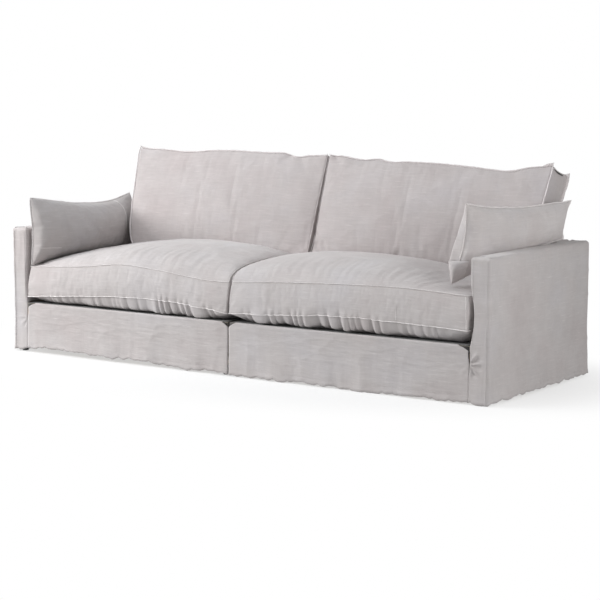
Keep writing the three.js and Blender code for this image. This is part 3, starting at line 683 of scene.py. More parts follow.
def arm_cover(label, side):
    low = (min(side * ARM_INNER, side * OUTER), FRONT)
    high = (max(side * ARM_INNER, side * OUTER), REAR)
    seed = 3 if side < 0 else 11

    def drape(places, outward, run):
        x, y, z = places.T
        inner = outward[:, 0] * side < -0.9
        on_top = ease(z, HEIGHT - SHOULDER, HEIGHT)
        relief = linen_relief(places, seed) + skirt_relief(places, run, seed + 5)
        front_seam = np.abs(side * x - (OUTER - RIDGE_INSET)) + ELSEWHERE * (y > FRONT + 0.001)
        side_seam = np.abs(y - FRONT - RIDGE_INSET) + ELSEWHERE * (outward[:, 0] * side < 0.9)
        relief = relief + seam_ridge(front_seam) + seam_ridge(side_seam) - hem_groove(z)
        relief = relief + HEM_THICKNESS * (z < HEM + HEM_TURN)
        to_front = outward[:, 1] < -0.9
        relief = np.where(to_front, flush_at_join(relief, side * x - ARM_INNER, z), relief)
        relief = relief + to_front * SLIT_PUCKERS[label] * slit_puckers(side * x - ARM_INNER, z)
        relief = np.where(inner, np.minimum(relief, 0) - INNER_TUCK, relief)
        relief = np.where(to_front, np.maximum(relief, -FRONT_TUCK), relief)
        moved = places.copy()
        moved[:, :2] += outward * (relief * (1 - on_top))[:, None]
        moved[:, 2] += on_top * np.where(side * x < OUTER, top_relief(places, seed), 0)
        at_front = ease(-outward[:, 1], 0.3, 0.95)
        height = SIDE_HEM + at_front * (curve(FRONT_HEM[label], side * x) - SIDE_HEM)
        moved[:, 2] += hem_rise(places, run, seed, height)
        pull = np.sin(math.pi * np.clip((z - ARM_PULL_FOOT) / ARM_PULL_HEIGHT, 0, 1)) ** 1.2
        near_edge = np.clip(1 - (side * x - ARM_INNER) / ARM, 0, 1) * ease(FRONT - y, -ARM_PULL_DEPTH, 0)
        moved[:, 0] += side * ARM_PULL[label] * pull * near_edge
        return moved

    def keep(middles, outward):
        facing_in = np.broadcast_to(outward[:, 0] * side < -0.7, middles.shape[:2])
        y, z = middles[..., 1], middles[..., 2]
        hidden_low = facing_in & (z < DECK) & (y > FRONT + 0.012)
        hidden_rear = facing_in & (y > BACK_FRONT + 0.006) & (z < HEIGHT - SHOULDER)
        return ~(hidden_low | hidden_rear)

    cover = thickened(upholstered_wall(f"{label}_arm_linen", low, high, drape, keep))
    finished(cover, linen, f"{label}_half", replaced=[f"{label}_arm_cover", f"{label}_arm_pad"])
    return cover


def surface_of(piece):
    """A piece's faces, ready for finding where a line meets them or which point lies nearest."""
    return BVHTree.FromPolygons(points_of(piece).tolist(), [list(p.vertices) for p in piece.data.polygons])


def sewn_line(name, cover, path, toward, width, rise, body, material=linen):
    """A narrow raised seam on a cover, along a path seen in a given direction."""
    tree = surface_of(cover)
    toward = Vector(toward)
    centres, normals = [], []
    for place in path:
        hit, normal, _, _ = tree.ray_cast(Vector(place) - toward * 0.08, toward, 0.16)
        if hit is not None:
            centres.append(hit)
            normals.append(normal if normal.dot(toward) < 0 else -normal)
    centres, normals = np.array(centres), np.array(normals)
    along = np.gradient(centres, axis=0)
    along /= np.linalg.norm(along, axis=1)[:, None]
    across = np.cross(along, normals)
    section = [(-0.5, -0.0006), (-0.3, rise), (0.3, rise), (0.5, -0.0006)]
    rows = [centres + across * (width * side) + normals * out for side, out in section]
    run = np.r_[0, np.cumsum(np.linalg.norm(np.diff(centres, axis=0), axis=1))]
    shell = Shell()
    numbers = shell.add(np.array(rows).swapaxes(0, 1))
    cloth = np.stack(np.meshgrid(run, [0, width / 3, 2 * width / 3, width], indexing="ij"), axis=-1)
    shell.panel(numbers, cloth)
    line = shell.make(name)
    if np.einsum("ij,ij->i", normals_of(line), np.repeat(normals, 4, axis=0)).mean() < 0:
        line.data.flip_normals()
    finished(line, material, body)


def straight(start, end, step=0.008):
    """Points along a straight line, about a step apart."""
    count = max(2, round(math.dist(start, end) / step))
    return [tuple(a + (b - a) * k / count for a, b in zip(start, end)) for k in range(count + 1)]


def arm_seams(label, side, cover):
    """The seams round an arm's outer face and front, and the stitching over its hem."""
    body = f"{label}_half"
    width, rise = 0.003, 0.001
    edge = side * (OUTER - SEAM_INSET)
    low = HEM + 0.004
    top = HEIGHT - 0.016
    front = straight((edge, FRONT, low), (edge, FRONT, top))
    sewn_line(f"{label}_arm_front_seam", cover, front, (0, 1, 0), width, rise, body)
    corner = straight((side * OUTER, FRONT + SEAM_INSET, low), (side * OUTER, FRONT + SEAM_INSET, top))
    sewn_line(f"{label}_arm_corner_seam", cover, corner, (-side, 0, 0), width, rise, body)
    inner = side * (ARM_INNER + SEAM_INSET)
    inside = straight((inner, FRONT, DECK + 0.02), (inner, FRONT, top))
    sewn_line(f"{label}_arm_inner_seam", cover, inside, (0, 1, 0), width, rise, body)
    hem = straight((side * OUTER, FRONT + SEAM_INSET, 0), (side * OUTER, REAR - SEAM_INSET, 0))
    stitches = [(x, y, HEM + HEM_TURN + 0.002 * noise.noise((y / 0.06, side, 0))) for x, y, _ in hem]
    sewn_line(f"{label}_arm_hem_stitches", cover, stitches, (-side, 0, 0), 0.0018, 0.0005, body)


for label, side in SIDES.items():
    arm_seams(label, side, arm_cover(label, side))


# Back covers. The low back of each half has the same loose cover, which drops to the floor behind and
# is seamed down its middle; between the arms it stops at the deck.

HALF_INNER = 0.002
FIT = 0.0003


def back_cover(label, side):
    ends = sorted((side * HALF_INNER, side * (ARM_INNER - FIT)))
    low, high = (ends[0], BACK_FRONT), (ends[1], REAR)
    seed = 23 if side < 0 else 31

    def drape(places, outward, run):
        x, _, z = places.T
        rear = outward[:, 1] > 0.9
        on_top = ease(z, HEIGHT - SHOULDER, HEIGHT)
        relief = linen_relief(places, seed) + skirt_relief(places, run, seed + 5) * rear
        middle_seam = np.abs(side * x - ARM_INNER / 2) + ELSEWHERE * ~rear
        relief = relief + seam_ridge(middle_seam) - hem_groove(z)
        relief = np.where(rear, relief, np.minimum(relief, 0))
        moved = places.copy()
        moved[:, :2] += outward * (relief * (1 - on_top))[:, None]
        moved[:, 2] += on_top * top_relief(places, seed)
        moved[:, 2] += hem_rise(places, run, seed) * rear
        return moved

    def keep(middles, outward):
        to_front = np.broadcast_to(outward[:, 1] < -0.7, middles.shape[:2])
        to_arm = np.broadcast_to(outward[:, 0] * side > 0.7, middles.shape[:2])
        z = middles[..., 2]
        return ~((to_front & (z < DECK)) | (to_arm & (z < HEIGHT - SHOULDER)))

    cover = thickened(upholstered_wall(f"{label}_back_linen", low, high, drape, keep))
    finished(cover, linen, f"{label}_half", replaced=[f"{label}_back_cover", f"{label}_back_pad"])


for label, side in SIDES.items():
    back_cover(label, side)


# Front skirts. A flat panel hangs from the front rail of each half, its top edge turned back over the
# deck and its upper corners rounded, with an uneven hem just off the floor.

SKIRT_SPACING = 0.008
SKIRT_TURN_ANGLES = (0, 0.5, 1.0, math.pi / 2)

# How the upper corners are rounded beside the split and beside the arm's slit: how far they are cut
# back, how far below the deck that starts, and over which height.
SPLIT_ROUNDING = (0.034, 0.027, 0.024)
SLIT_ROUNDING = (0.045, 0.025, 0.022)
SLIT_WIDTH = 0.006
SKIRT_STANDOFF = 0.0015

# Pressed-in creases: how far they rise, their size along and up the cloth, seed and sharpness, and up to
# which height they fade in.
SKIRT_CREASES = [(0.0014, (0.21, 1, 0.035), 8, 4, 0.14), (0.001, (0.09, 1, 0.02), 15, 5, 0.1)]


def cut_back(z, rounding):
    """How far a rounded upper corner cuts the skirt's edge back at a height."""
    reach, below, height = rounding
    return reach * min(max(0, (z - DECK + below) / height) ** 2, 1)


def front_skirt(label, side):
    seed = 41 if side < 0 else 47
    turn = 0.007
    columns = round((ARM_INNER - HALF_INNER) / SKIRT_SPACING)
    levels = [(0.0, z) for z in slipcover_levels(DECK - turn)]
    levels += [(turn * (1 - math.cos(a)), DECK - turn * (1 - math.sin(a))) for a in SKIRT_TURN_ANGLES]
    rows = []
    for back, z in levels:
        start = HALF_INNER + cut_back(z, SPLIT_ROUNDING)
        slit = SLIT_WIDTH * min(max((z - SLIT_FOOT) / 0.03, 0), 1)
        end = ARM_INNER - FIT - slit - cut_back(z, SLIT_ROUNDING)
        run = start + (end - start) * np.linspace(0, 1, columns + 1)
        row = np.column_stack([side * run, np.full(columns + 1, FRONT + back), np.full(columns + 1, z)])
        along = np.column_stack([run, np.zeros_like(run), row[:, 2]])
        relief = linen_relief(along, seed) + skirt_relief(row, run, seed + 5)
        for rise, crease_size, number, sharpness, full in SKIRT_CREASES:
            creases = creases_at(along, crease_size, seed + number, sharpness)
            relief += rise * creases * ease(row[:, 2], 0.02, full)
        relief -= hem_groove(row[:, 2])
        relief = flush_at_join(relief, ARM_INNER - run, row[:, 2])
        relief += 0.25 * SLIT_PUCKERS[label] * slit_puckers(run - ARM_INNER, row[:, 2])
        above_foot = ease(row[:, 2], SLIT_FOOT - 0.01, SLIT_FOOT + 0.02)
        relief -= 0.004 * np.exp(-((end - run) / 0.02) ** 2) * above_foot
        row[:, 1] -= (SKIRT_STANDOFF + np.maximum(relief, 0)) * (1 - back / turn)
        row[:, 2] += hem_rise(row, run, seed, curve(FRONT_HEM[label], run))
        rows.append(row)
    shell = Shell()
    numbers = shell.add(rows)
    heights = [z + back for back, z in levels]
    widths = np.linspace(0, ARM_INNER, columns + 1)
    cloth = np.stack(np.meshgrid(heights, widths, indexing="ij")[::-1], axis=-1)
    shell.panel(numbers if side > 0 else numbers[:, ::-1], cloth)
    skirt = shell.make(f"{label}_skirt_linen")
    turn_to(skirt, 1, -1)
    thickened(skirt)
    finished(skirt, linen, f"{label}_half", replaced=[f"{label}_front_apron"])
    return skirt


def skirt_stitches(label, side, skirt):
    start = HALF_INNER + 0.012
    end = ARM_INNER - 0.01
    hem = straight((side * start, FRONT, 0), (side * end, FRONT, 0))
    stitches = [(x, y, HEM + HEM_TURN + 0.003 * noise.noise((x / 0.06, side, 4)) + 0.5 * SIDE_HEM)
                for x, y, _ in hem]
    sewn_line(f"{label}_skirt_hem_stitches", skirt, stitches, (0, 1, 0), 0.0014, 0.0004, f"{label}_half")


for label, side in SIDES.items():
    skirt_stitches(label, side, front_skirt(label, side))


# Deck sheets. A near-black sheet of painted shade, sewn to the linen cover and stretched over the webbing
# and its pad under the seat cushions, darkens the gap there; a short lip hangs behind the skirt's top edge.

# The lip's rows of points: how far each lies behind the front, and its height measured from the deck.
DECK_LIP = [(0.0027, -0.095), (0.0027, -0.06), (0.0027, -0.03), (0.0027, -0.01), (0.0032, -0.004),
            (0.005, -0.001)]

# Near-black painted shade, for the shaded gap under the seat cushions and between the halves.
painted_shade_lining = linen_material("painted_shade_lining", (0.05, 0.046, 0.045), (0.035, 0.032, 0.031), 0.0)


def deck_sheet(label, side):
    columns = 60
    flat = [(back, 0.0) for back in np.linspace(0.0075, BACK_FRONT - FRONT - 0.001, 38)]
    backs, drops = np.array(DECK_LIP + flat).T
    rows = len(backs) - 1
    stations = np.linspace(HALF_INNER + 0.003, ARM_INNER - 0.001, columns + 1) * side
    x, y = np.meshgrid(stations, FRONT + backs, indexing="ij")
    places = np.stack([x, y, DECK + np.broadcast_to(drops, x.shape)], axis=-1).reshape(-1, 3)
    loose = places[:, 1] > FRONT + 0.007
    places[:, 2] -= loose * (0.0008 + 0.0008 * (1 + noise_at(places, (0.15, 0.15, 1), 53 + side)))
    shell = Shell()
    numbers = shell.add(places.reshape(columns + 1, rows + 1, 3))
    run = np.r_[0, np.cumsum(np.hypot(np.diff(backs), np.diff(drops)))]
    shell.panel(numbers, np.stack([x, np.broadcast_to(run, x.shape)], axis=-1))
    deck = shell.make(f"{label}_deck_linen")
    turn_to(deck, 2, 1)
    thickened(deck, 0.0005)
    finished(deck, painted_shade_lining, f"{label}_half", replaced=[f"{label}_deck_cover"])


for label, side in SIDES.items():
    deck_sheet(label, side)


# End panels. The same near-black sheet of painted shade closes each half where it meets the other one,
# with a slit for the connector.

# Where the connector passes: the slit's ends along Y, and its top.
CONNECTOR_SLIT = (-0.0765, 0.0075)
SLIT_TOP = 0.0623


def end_panel(label, side):
    low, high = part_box(f"{label}_joint_end_panel")
    slit_low, slit_high = CONNECTOR_SLIT
    before = np.linspace(low[1], slit_low, 20)
    beside = np.linspace(slit_low, slit_high, 6)
    behind = np.linspace(slit_high, high[1], 22)
    y_stations = np.unique(np.r_[before, beside, behind])
    z_stations = np.unique(np.r_[np.linspace(low[2], SLIT_TOP, 5), np.linspace(SLIT_TOP, high[2], 12)])
    y, z = np.meshgrid(y_stations, z_stations, indexing="ij")
    x = np.full_like(y, side * (HALF_INNER + 0.0004))
    places = np.stack([x, y, z], axis=-1).reshape(-1, 3)
    relief = 0.0012 * (1 + noise_at(places, (1, 0.11, 0.16), 61 + side))
    places[:, 0] += side * relief * ease(places[:, 1], FRONT, FRONT + 0.05)
    shell = Shell()
    numbers = shell.add(places.reshape(*y.shape, 3))
    in_slit = (y[:-1, :-1] > slit_low - 0.001) & (y[1:, :-1] < slit_high + 0.001)
    in_slit = in_slit & (z[:-1, 1:] < SLIT_TOP + 0.001)
    shell.panel(numbers, np.stack([y, z], axis=-1), ~in_slit)
    panel = shell.make(f"{label}_end_linen")
    turn_to(panel, 0, -side)
    thickened(panel, 0.001)
    finished(panel, painted_shade_lining, f"{label}_half", replaced=[f"{label}_joint_end_panel"])


for label, side in SIDES.items():
    end_panel(label, side)


# Back cushions. Two loose box cushions lean on the back, each sewn from a front, a back and a side band
# with flanged seams and filled with fibre; the right one's zip end shows, a little open.

# How both are cut and how they lean: the foot is measured back from the sofa's front and up from the
# floor, and share is how evenly the faces swell.
BACK = {
    "thickness": 0.155, "lean": math.radians(18), "foot": (0.552, 0.482), "crown": 0.034, "drawn_in": 0.01,
    "ease": 0.004, "share": 0.7, "ear": 0.01, "side_bulge": 0.02, "corner_tuck": 0.03,
}

# Each cushion's ends and height, and how much narrower its foot is at each end.
BACK_SIDES = {
    "left": {"left": -1.085, "right": 0.0575, "height": 0.508, "narrow_left": 0.046, "narrow_right": 0.018},
    "right": {"left": 0.0605, "right": 1.224, "height": 0.484, "narrow_left": 0.0, "narrow_right": 0.037},
}

# How far the sewn edges stand out, and how much further at the outer end.
BACK_EDGE = 0.005
BACK_FLANGE = {"left": 0.0, "right": 0.006}

# How the top edges wave, as (share of the half length, rise) pairs.
TOP_EDGE = {
    "left": [(-1, 0.0), (-0.9, -0.002), (-0.71, -0.003), (-0.45, -0.009), (-0.2, 0.003), (0, 0.007),
             (0.2, 0.003), (0.44, -0.001), (0.56, -0.003), (0.69, -0.02), (0.82, -0.016), (1, -0.012)],
    "right": [(-1, 0.012), (-0.85, 0.01), (-0.65, -0.002), (-0.5, 0.005), (-0.42, -0.005), (-0.25, -0.002),
              (0.1, -0.007), (0.35, -0.018), (0.5, -0.027), (0.67, -0.034), (0.8, -0.018), (1, -0.01)],
}

# The back cushions' linen is a darker copy of the linen, painted shade for their place further from the
# light; their seams' cloth is paler than it, a painted highlight of the light caught by the raised edges.
back_linen = linen_material("back_linen", (0.53, 0.49, 0.484), (0.452, 0.417, 0.412), 0.0)
back_seam_linen = linen_material("back_seam_linen", (0.64, 0.6, 0.595), (0.56, 0.525, 0.52), 1.0)

# Creases in the faces: start and end as shares of the half sizes, depth and width.
BACK_CREASES = {
    "left": [((0.64, 1), (0.56, 0.84), 0.012, 0.012), ((0.74, 0.97), (0.8, 0.8), 0.005, 0.02),
             ((0.2, 0.95), (0.5, 0.7), 0.003, 0.03)],
    "right": [((-0.2, -0.98), (-0.18, -0.8), 0.012, 0.012), ((-0.93, 0.99), (-0.88, 0.88), 0.01, 0.012),
              ((-0.97, -0.72), (-0.9, -0.95), 0.014, 0.01), ((-0.9, -0.7), (-0.84, -0.93), 0.012, 0.01),
              ((-0.98, -0.5), (-0.9, -0.8), 0.008, 0.014), ((0.3, 0.8), (0.7, 0.5), 0.003, 0.03)],
}


def edges_of(piece):
    edges = np.empty(len(piece.data.edges) * 2, dtype=int)
    piece.data.edges.foreach_get("vertices", edges)
    return edges.reshape(-1, 2)


def spread(values, edges, rounds):
    """Values at the points of a mesh, evened out along its edges."""
    a, b = edges[:, 0], edges[:, 1]
    count = len(values)
    degree = np.bincount(a, minlength=count) + np.bincount(b, minlength=count)
    for _ in range(rounds):
        total = np.bincount(a, values[b], count) + np.bincount(b, values[a], count)
        values = 0.5 * values + 0.5 * total / degree
    return values


# The cloth simulation's length, the rounds that even out its slow changes of form, and the most that its
# wrinkles may rise.
CLOTH_FRAMES = 16
SLOW_ROUNDS = 26
MOST_WRINKLE = 0.012


def simulated_wrinkles(piece, held, growth, pressure):
    """How far each point moves along its normal when the sewn fabric, cut a little too large and held at
    its seams, is blown up. Slow changes of form are left out, so that only the wrinkles remain."""
    base = points_of(piece)
    normals = normals_of(piece)
    group = piece.vertex_groups.new(name="held")
    group.add([int(number) for number in held], 1.0, "REPLACE")
    modifier = piece.modifiers.new("Cloth", "CLOTH")
    settings = modifier.settings
    settings.quality = 4
    settings.mass = 0.25
    settings.tension_stiffness = 18
    settings.compression_stiffness = 18
    settings.shear_stiffness = 6
    settings.bending_stiffness = 0.35
    settings.air_damping = 2
    settings.use_pressure = True
    settings.uniform_pressure_force = pressure
    settings.shrink_min = -growth
    settings.vertex_group_mass = "held"
    settings.effector_weights.gravity = 0
    modifier.collision_settings.use_collision = False
    modifier.collision_settings.use_self_collision = False
    modifier.point_cache.frame_start = 1
    modifier.point_cache.frame_end = CLOTH_FRAMES
    for frame_number in range(1, CLOTH_FRAMES + 1):
        scene.frame_set(frame_number)
    result = piece.evaluated_get(bpy.context.evaluated_depsgraph_get())
    moved = np.empty(len(result.data.vertices) * 3)
    result.data.vertices.foreach_get("co", moved)
    piece.modifiers.remove(modifier)
    piece.vertex_groups.remove(group)
    scene.frame_set(1)
    height = np.einsum("ij,ij->i", moved.reshape(-1, 3) - base, normals)
    height = np.clip(np.nan_to_num(height), -0.05, 0.05)
    return height - spread(height, edges_of(piece), SLOW_ROUNDS)


def wrinkled(piece, seams, growth, pressure, gain, seed):
    """Adds the simulated wrinkles, and a few slow creases, to a cushion."""
    places = points_of(piece)
    relief = np.zeros(len(places))
    held = np.unique(np.r_[seams["lower"], seams["upper"]])
    relief += gain * simulated_wrinkles(piece, held, growth, pressure)
    relief = np.clip(relief, -MOST_WRINKLE, MOST_WRINKLE)
    normals = normals_of(piece)
    relief += 0.0016 * noise_at(places, (0.12, 0.12, 0.12), seed)
    relief += 0.0018 * creases_at(places, (0.4, 0.2, 0.2), seed + 2, 6)
    set_points(piece, places + normals * relief[:, None])


def crown(u, v, across, along):
    """How a filled panel swells: 1 in its middle and 0 at its edges, flatter where the powers are low."""
    return np.maximum(0, 1 - u * u) ** across * np.maximum(0, 1 - v * v) ** along


def panel_place(u, v, half_x, half_y, drawn_in_x, drawn_in_y, corner_ease):
    """A place on a cut panel whose sides are drawn in between its corners."""
    corner = corner_ease * (u * v) ** 8
    x = u * (half_x - drawn_in_x * (1 - v * v) * u * u - corner)
    y = v * (half_y - drawn_in_y * (1 - u * u) * v * v - corner)
    return x, y


def cushion(name, size, spacings, face, band_height, band_rows):
    """A cushion sewn from two panels and a side band. face(u, v, t) gives its points: t is 1 on the top
    panel, 0 on the bottom one, and between them on the band. Returns it and its two rows of seam points."""
    across, along = (max(8, round(length / spacing)) for length, spacing in zip(size, spacings))
    u, v = np.meshgrid(np.linspace(-1, 1, across + 1), np.linspace(-1, 1, along + 1), indexing="ij")
    shell = Shell()
    upper = shell.add(face(u, v, 1.0))
    lower = shell.add(face(u, v, 0.0))
    cloth = np.stack([u * size[0] / 2, v * size[1] / 2], axis=-1)
    shell.panel(upper, cloth)
    shell.panel(lower[::-1], cloth[::-1])
    rim_i = np.r_[np.arange(across), np.full(along, across), np.arange(across, 0, -1), np.zeros(along, int)]
    rim_j = np.r_[np.zeros(across, int), np.arange(along), np.full(across, along), np.arange(along, 0, -1)]
    rim_u, rim_v = u[rim_i, rim_j], v[rim_i, rim_j]
    rows = [shell.add(face(rim_u, rim_v, k / band_rows)) for k in range(1, band_rows)]
    band = np.array([lower[rim_i, rim_j], *rows, upper[rim_i, rim_j]])
    band = np.hstack([band, band[:, :1]])
    steps_x = np.diff(rim_u, append=rim_u[0]) * size[0] / 2
    steps_y = np.diff(rim_v, append=rim_v[0]) * size[1] / 2
    run = np.r_[0, np.cumsum(np.hypot(steps_x, steps_y))]
    run_grid, height_grid = np.meshgrid(run, np.linspace(0, band_height, band_rows + 1), indexing="xy")
    shell.panel(band.T, np.stack([run_grid.T, height_grid.T], axis=-1))
    piece = shell.make(name)
    return piece, {"lower": band[0, :-1], "upper": band[-1, :-1]}


def turned_out(piece):
    """Turns a closed piece's faces outwards."""
    places = points_of(piece)
    volume = 0.0
    for polygon in piece.data.polygons:
        a, b, c, d = (places[number] for number in polygon.vertices)
        volume += np.dot(a, np.cross(b, c)) + np.dot(a, np.cross(c, d))
    if volume < 0:
        piece.data.flip_normals()


def fold(x, y, start, end, width):
    """1 along the line from start to end, and 0 beyond about its width."""
    way = np.subtract(end, start)
    share = np.clip(((x - start[0]) * way[0] + (y - start[1]) * way[1]) / np.dot(way, way), 0, 1)
    distance = np.hypot(x - start[0] - share * way[0], y - start[1] - share * way[1])
    return np.exp(-(distance / width) ** 2) * (1 - 0.6 * share)


def back_place():
    """Where a back cushion's foot stands, and the lean that it has there."""
    turn = Matrix.Rotation(math.pi / 2 - BACK["lean"], 4, "X")
    return Matrix.Translation((0, FRONT + BACK["foot"][0], BACK["foot"][1])) @ turn


def back_face(label):
    sides = BACK_SIDES[label]
    half_x = (sides["right"] - sides["left"]) / 2
    half_y = sides["height"] / 2
    middle = (sides["right"] + sides["left"]) / 2
    place = np.array(back_place())
    edge = np.array(back_place().inverted() @ Vector((0, BACK_FRONT, HEIGHT - 0.012)))
    reach = -edge[2] - BACK["thickness"] - FIT
    height_share = 2 * edge[1] / sides["height"] - 1
    rear_crown = reach / (1 - height_share ** 2) ** BACK["share"]

    def face(u, v, t):
        bulge = math.sin(math.pi * t)
        drawn_in = BACK["drawn_in"] * (1 - bulge)
        x, y = panel_place(u, v, half_x, half_y, drawn_in, drawn_in, BACK["ease"])
        to_middle = np.maximum(0, u if label == "left" else -u)
        x = x + np.sign(u) * 0.85 * drawn_in * (1 - v * v) * to_middle ** 3
        if label == "left":
            low_corner = np.maximum(0, -u) ** 20 * np.maximum(0, -v) ** 6
            x = x + BACK["corner_tuck"] * low_corner
        high = np.maximum(0, 0.5 + 0.5 * v)
        y = y + curve(TOP_EDGE[label], u) * high ** 3
        y = y + BACK["ear"] * np.abs(u) ** 30 * high ** 30 * (1 - 0.8 * bulge)
        narrow = np.where(u < 0, sides["narrow_left"], sides["narrow_right"]) * u * (0.5 - 0.5 * v)
        z = -BACK["thickness"] * (1 - t) + np.zeros_like(u)
        swell = crown(u, v, BACK["share"], BACK["share"])
        if t == 1:
            z = z + BACK["crown"] * swell
            half = (half_x, half_y)
            for start, end, depth, width in BACK_CREASES[label]:
                start, end = np.multiply(start, half), np.multiply(end, half)
                z = z - depth * fold(u * half_x, v * half_y, start, end, width)
        if t == 0:
            z = z - rear_crown * swell
        if label == "left":
            x = x - BACK["side_bulge"] * np.maximum(0, -u) ** 4 * (1 - v * v)
        local = np.stack([middle + x - narrow, half_y + y, z], axis=-1)
        return local @ place[:3, :3].T + place[:3, 3]

    return face, (2 * half_x, 2 * half_y)


def corner_puckers(piece, corner, reach, depth, lobes):
    """Creases that fan out from a corner where two sewn edges meet."""
    places = points_of(piece)
    across = places - np.array(corner)
    distance = np.linalg.norm(across, axis=1)
    angle = np.arctan2(across[:, 2], across[:, 0])
    fan = depth * np.sin(lobes * angle) * np.exp(-((distance - 0.6 * reach) / (0.5 * reach)) ** 2)
    set_points(piece, places + normals_of(piece) * fan[:, None])


def bent_strip(name, places, outward, width, thickness, wave, seed):
    """A flat sewn edge along a closed row of points, standing outward, a little uneven."""
    along = np.roll(places, -1, axis=0) - np.roll(places, 1, axis=0)
    along /= np.linalg.norm(along, axis=1)[:, None]
    outward = outward - along * np.einsum("ij,ij->i", outward, along)[:, None]
    outward /= np.linalg.norm(outward, axis=1)[:, None]
    across = np.cross(along, outward)
    run = np.r_[0, np.cumsum(np.linalg.norm(np.diff(places, axis=0), axis=1))]
    waver = np.array([noise.noise((r / 0.03, seed, 0.5)) + 0.6 * noise.noise((r / 0.011, seed, 7.5))
                      for r in run])
    reach = width * (1 + 0.25 * np.array([noise.noise((r / 0.02, seed, 3.5)) for r in run]))
    widest = float(np.max(width))
    shell = Shell()
    section = [(-0.3, 1), (0.5, 0.9), (1, 0.35), (1, -0.35), (0.5, -0.9), (-0.3, -1)]
    rings = []
    for out, side in section:
        lean = np.clip(out, 0, 1) * wave * waver
        places_here = places + outward * (out * reach)[:, None]
        rings.append(shell.add(places_here + across * (side * thickness / 2 + lean)[:, None]))
    grid = np.array(rings + rings[:1]).T
    grid = np.vstack([grid, grid[:1]])
    run = np.r_[run, run[-1] + 0.01]
    around = np.linspace(0, 2.4 * widest, len(section) + 1)
    shell.panel(grid, np.stack(np.meshgrid(run, around, indexing="ij"), axis=-1))
    strip = shell.make(name)
    turned_out(strip)
    return strip


def sew_edges(key, piece, seams, rows, widths, thickness, wave, body, material=seam_highlight_linen):
    """The sewn edges that stand out along a cushion's seams."""
    for row in rows:
        places = points_of(piece)[seams[row]]
        outward = normals_of(piece)[seams[row]]
        seed = len(key) + ord(row[0])
        strip = bent_strip(f"{key}_{row}_seam", places, outward, widths(places), thickness, wave, seed)
        finished(strip, material, body)


def soften(piece):
    """Rounds a piece's faces, as cloth is rounded by its filling."""
    subdivision = piece.modifiers.new("smooth_cloth", "SUBSURF")
    subdivision.levels = 1
    subdivision.render_levels = 1


def back_cushion(label, side):
    face, size = back_face(label)
    name = f"{label}_back_linen_cushion"
    piece, seams = cushion(name, size, (SPACING, SPACING), face, BACK["thickness"], band_rows=13)
    turned_out(piece)
    wrinkled(piece, seams, growth=0.03, pressure=3, gain=0.4, seed=71 + side)
    rim = points_of(piece)[seams["upper"]]
    low_corner = rim[np.argmin(side * rim[:, 0] * 2 + rim[:, 2])]
    corner_puckers(piece, low_corner, reach=0.05, depth=0.005, lobes=9)
    inner, outer = sorted((side * BACK_SIDES[label]["left"], side * BACK_SIDES[label]["right"]))

    def widths(places):
        across = side * places[:, 0]
        pressed = ease(inner + 0.04 - across, 0, 0.03)
        flange = BACK_FLANGE[label] * ease(across, outer - 0.05, outer - 0.03)
        return BACK_EDGE - 0.0038 * pressed + flange

    body = f"{label}_back_cushion"
    rows = ("upper", "lower")
    sew_edges(f"{label}_back", piece, seams, rows, widths, 0.0028, 0.0016, body, back_seam_linen)
    soften(piece)
    finished(piece, back_linen, body, replaced=[f"{body}_cover", f"{body}_filling"])
    return piece


def zip_slit(body):
    """The slightly open zip in the right back cushion's end, just under its top edge: a near-black strip of
    painted shade for the gap of the opening.
    """
    face, _ = back_face("right")
    run = np.linspace(0, 1, 9)
    path = []
    for share in run:
        bowed = 0.955 - 0.01 * math.sin(math.pi * share)
        path.append(face(np.array(0.999), np.array(bowed), float(0.9 - 0.62 * share)))
    path = np.array(path)
    half = 0.0045 * np.sqrt(np.sin(math.pi * np.clip(run, 0.02, 0.98)))
    up = np.array((0, -math.sin(BACK["lean"]), math.cos(BACK["lean"])))
    out = np.array((1.0, 0, 0))
    lower = path + out * 0.0012 - up * half[:, None]
    middle = path + out * 0.0003
    upper = path + out * 0.0012 + up * half[:, None]
    shell = Shell()
    numbers = shell.add(np.array([lower, middle, upper]).swapaxes(0, 1))
    shell.panel(numbers, np.stack(np.meshgrid(run * 0.1, [0, 0.004, 0.008], indexing="ij"), axis=-1))
    slit = shell.make("right_back_zip_painted_shade")
    turn_to(slit, 0, 1)
    finished(slit, zip_shade, body)


# Near-black, painted shade for the shaded gap of the open zip.
zip_shade = grained_material("zip_shade", (0.02, 0.018, 0.017), (0.06, 0.055, 0.052), 0.003, 0.8)
back_cushions = {label: back_cushion(label, side) for label, side in SIDES.items()}
zip_slit("right_back_cushion")


# Arm pillows. A small knife-edge pillow stands on each seat against its arm, sagging along its top; the
# left one has a seam across its face, and a tuck at its near end.

# How both are cut: how far the edges are drawn in by the filling, how evenly the faces swell along and
# up, and how the near end of the inner face bulges.
PILLOW = {
    "seam": 0.006, "bottom_drawn_in": 0.02, "end_share": 0.36, "share": 0.55, "bulge_share": 0.16,
    "end_drawn_in": {"left": 0.008, "right": 0.028},
    "end_bulge": {"left": 0.012, "right": 0.054},
}
PILLOW_SPACING = (0.01, 0.01)
PILLOW_EDGE = 0.004

# The sag of the top edges, as (share of the half length, rise) pairs.
PILLOW_TOP = {
    "left": [(-1, 0), (-0.5, -0.024), (0.07, -0.043), (0.31, -0.044), (0.55, -0.041), (0.8, -0.021),
             (1, 0)],
    "right": [(-1, 0), (-0.5, -0.022), (0, -0.03), (0.5, -0.023), (0.85, -0.012), (1, 0.003)],
}

# Corners measured from the arm's front, and how far each face swells.
PILLOW_CORNERS = {
    "left": {
        "bottom_front": (-1.18, 0.008, 0.424), "top_front": (-1.18, 0.005, 0.743),
        "top_rear": (-1.185, 0.74, 0.729), "bottom_rear": (-1.18, 0.71, 0.446),
        "inner": 0.112, "outer": 0.032,
    },
    "right": {
        "bottom_front": (1.062, 0.112, 0.474), "top_front": (1.1, 0.149, 0.797),
        "top_rear": (1.282, 0.745, 0.782), "bottom_rear": (1.25, 0.748, 0.622),
        "inner": 0.072, "outer": 0.058,
    },
}

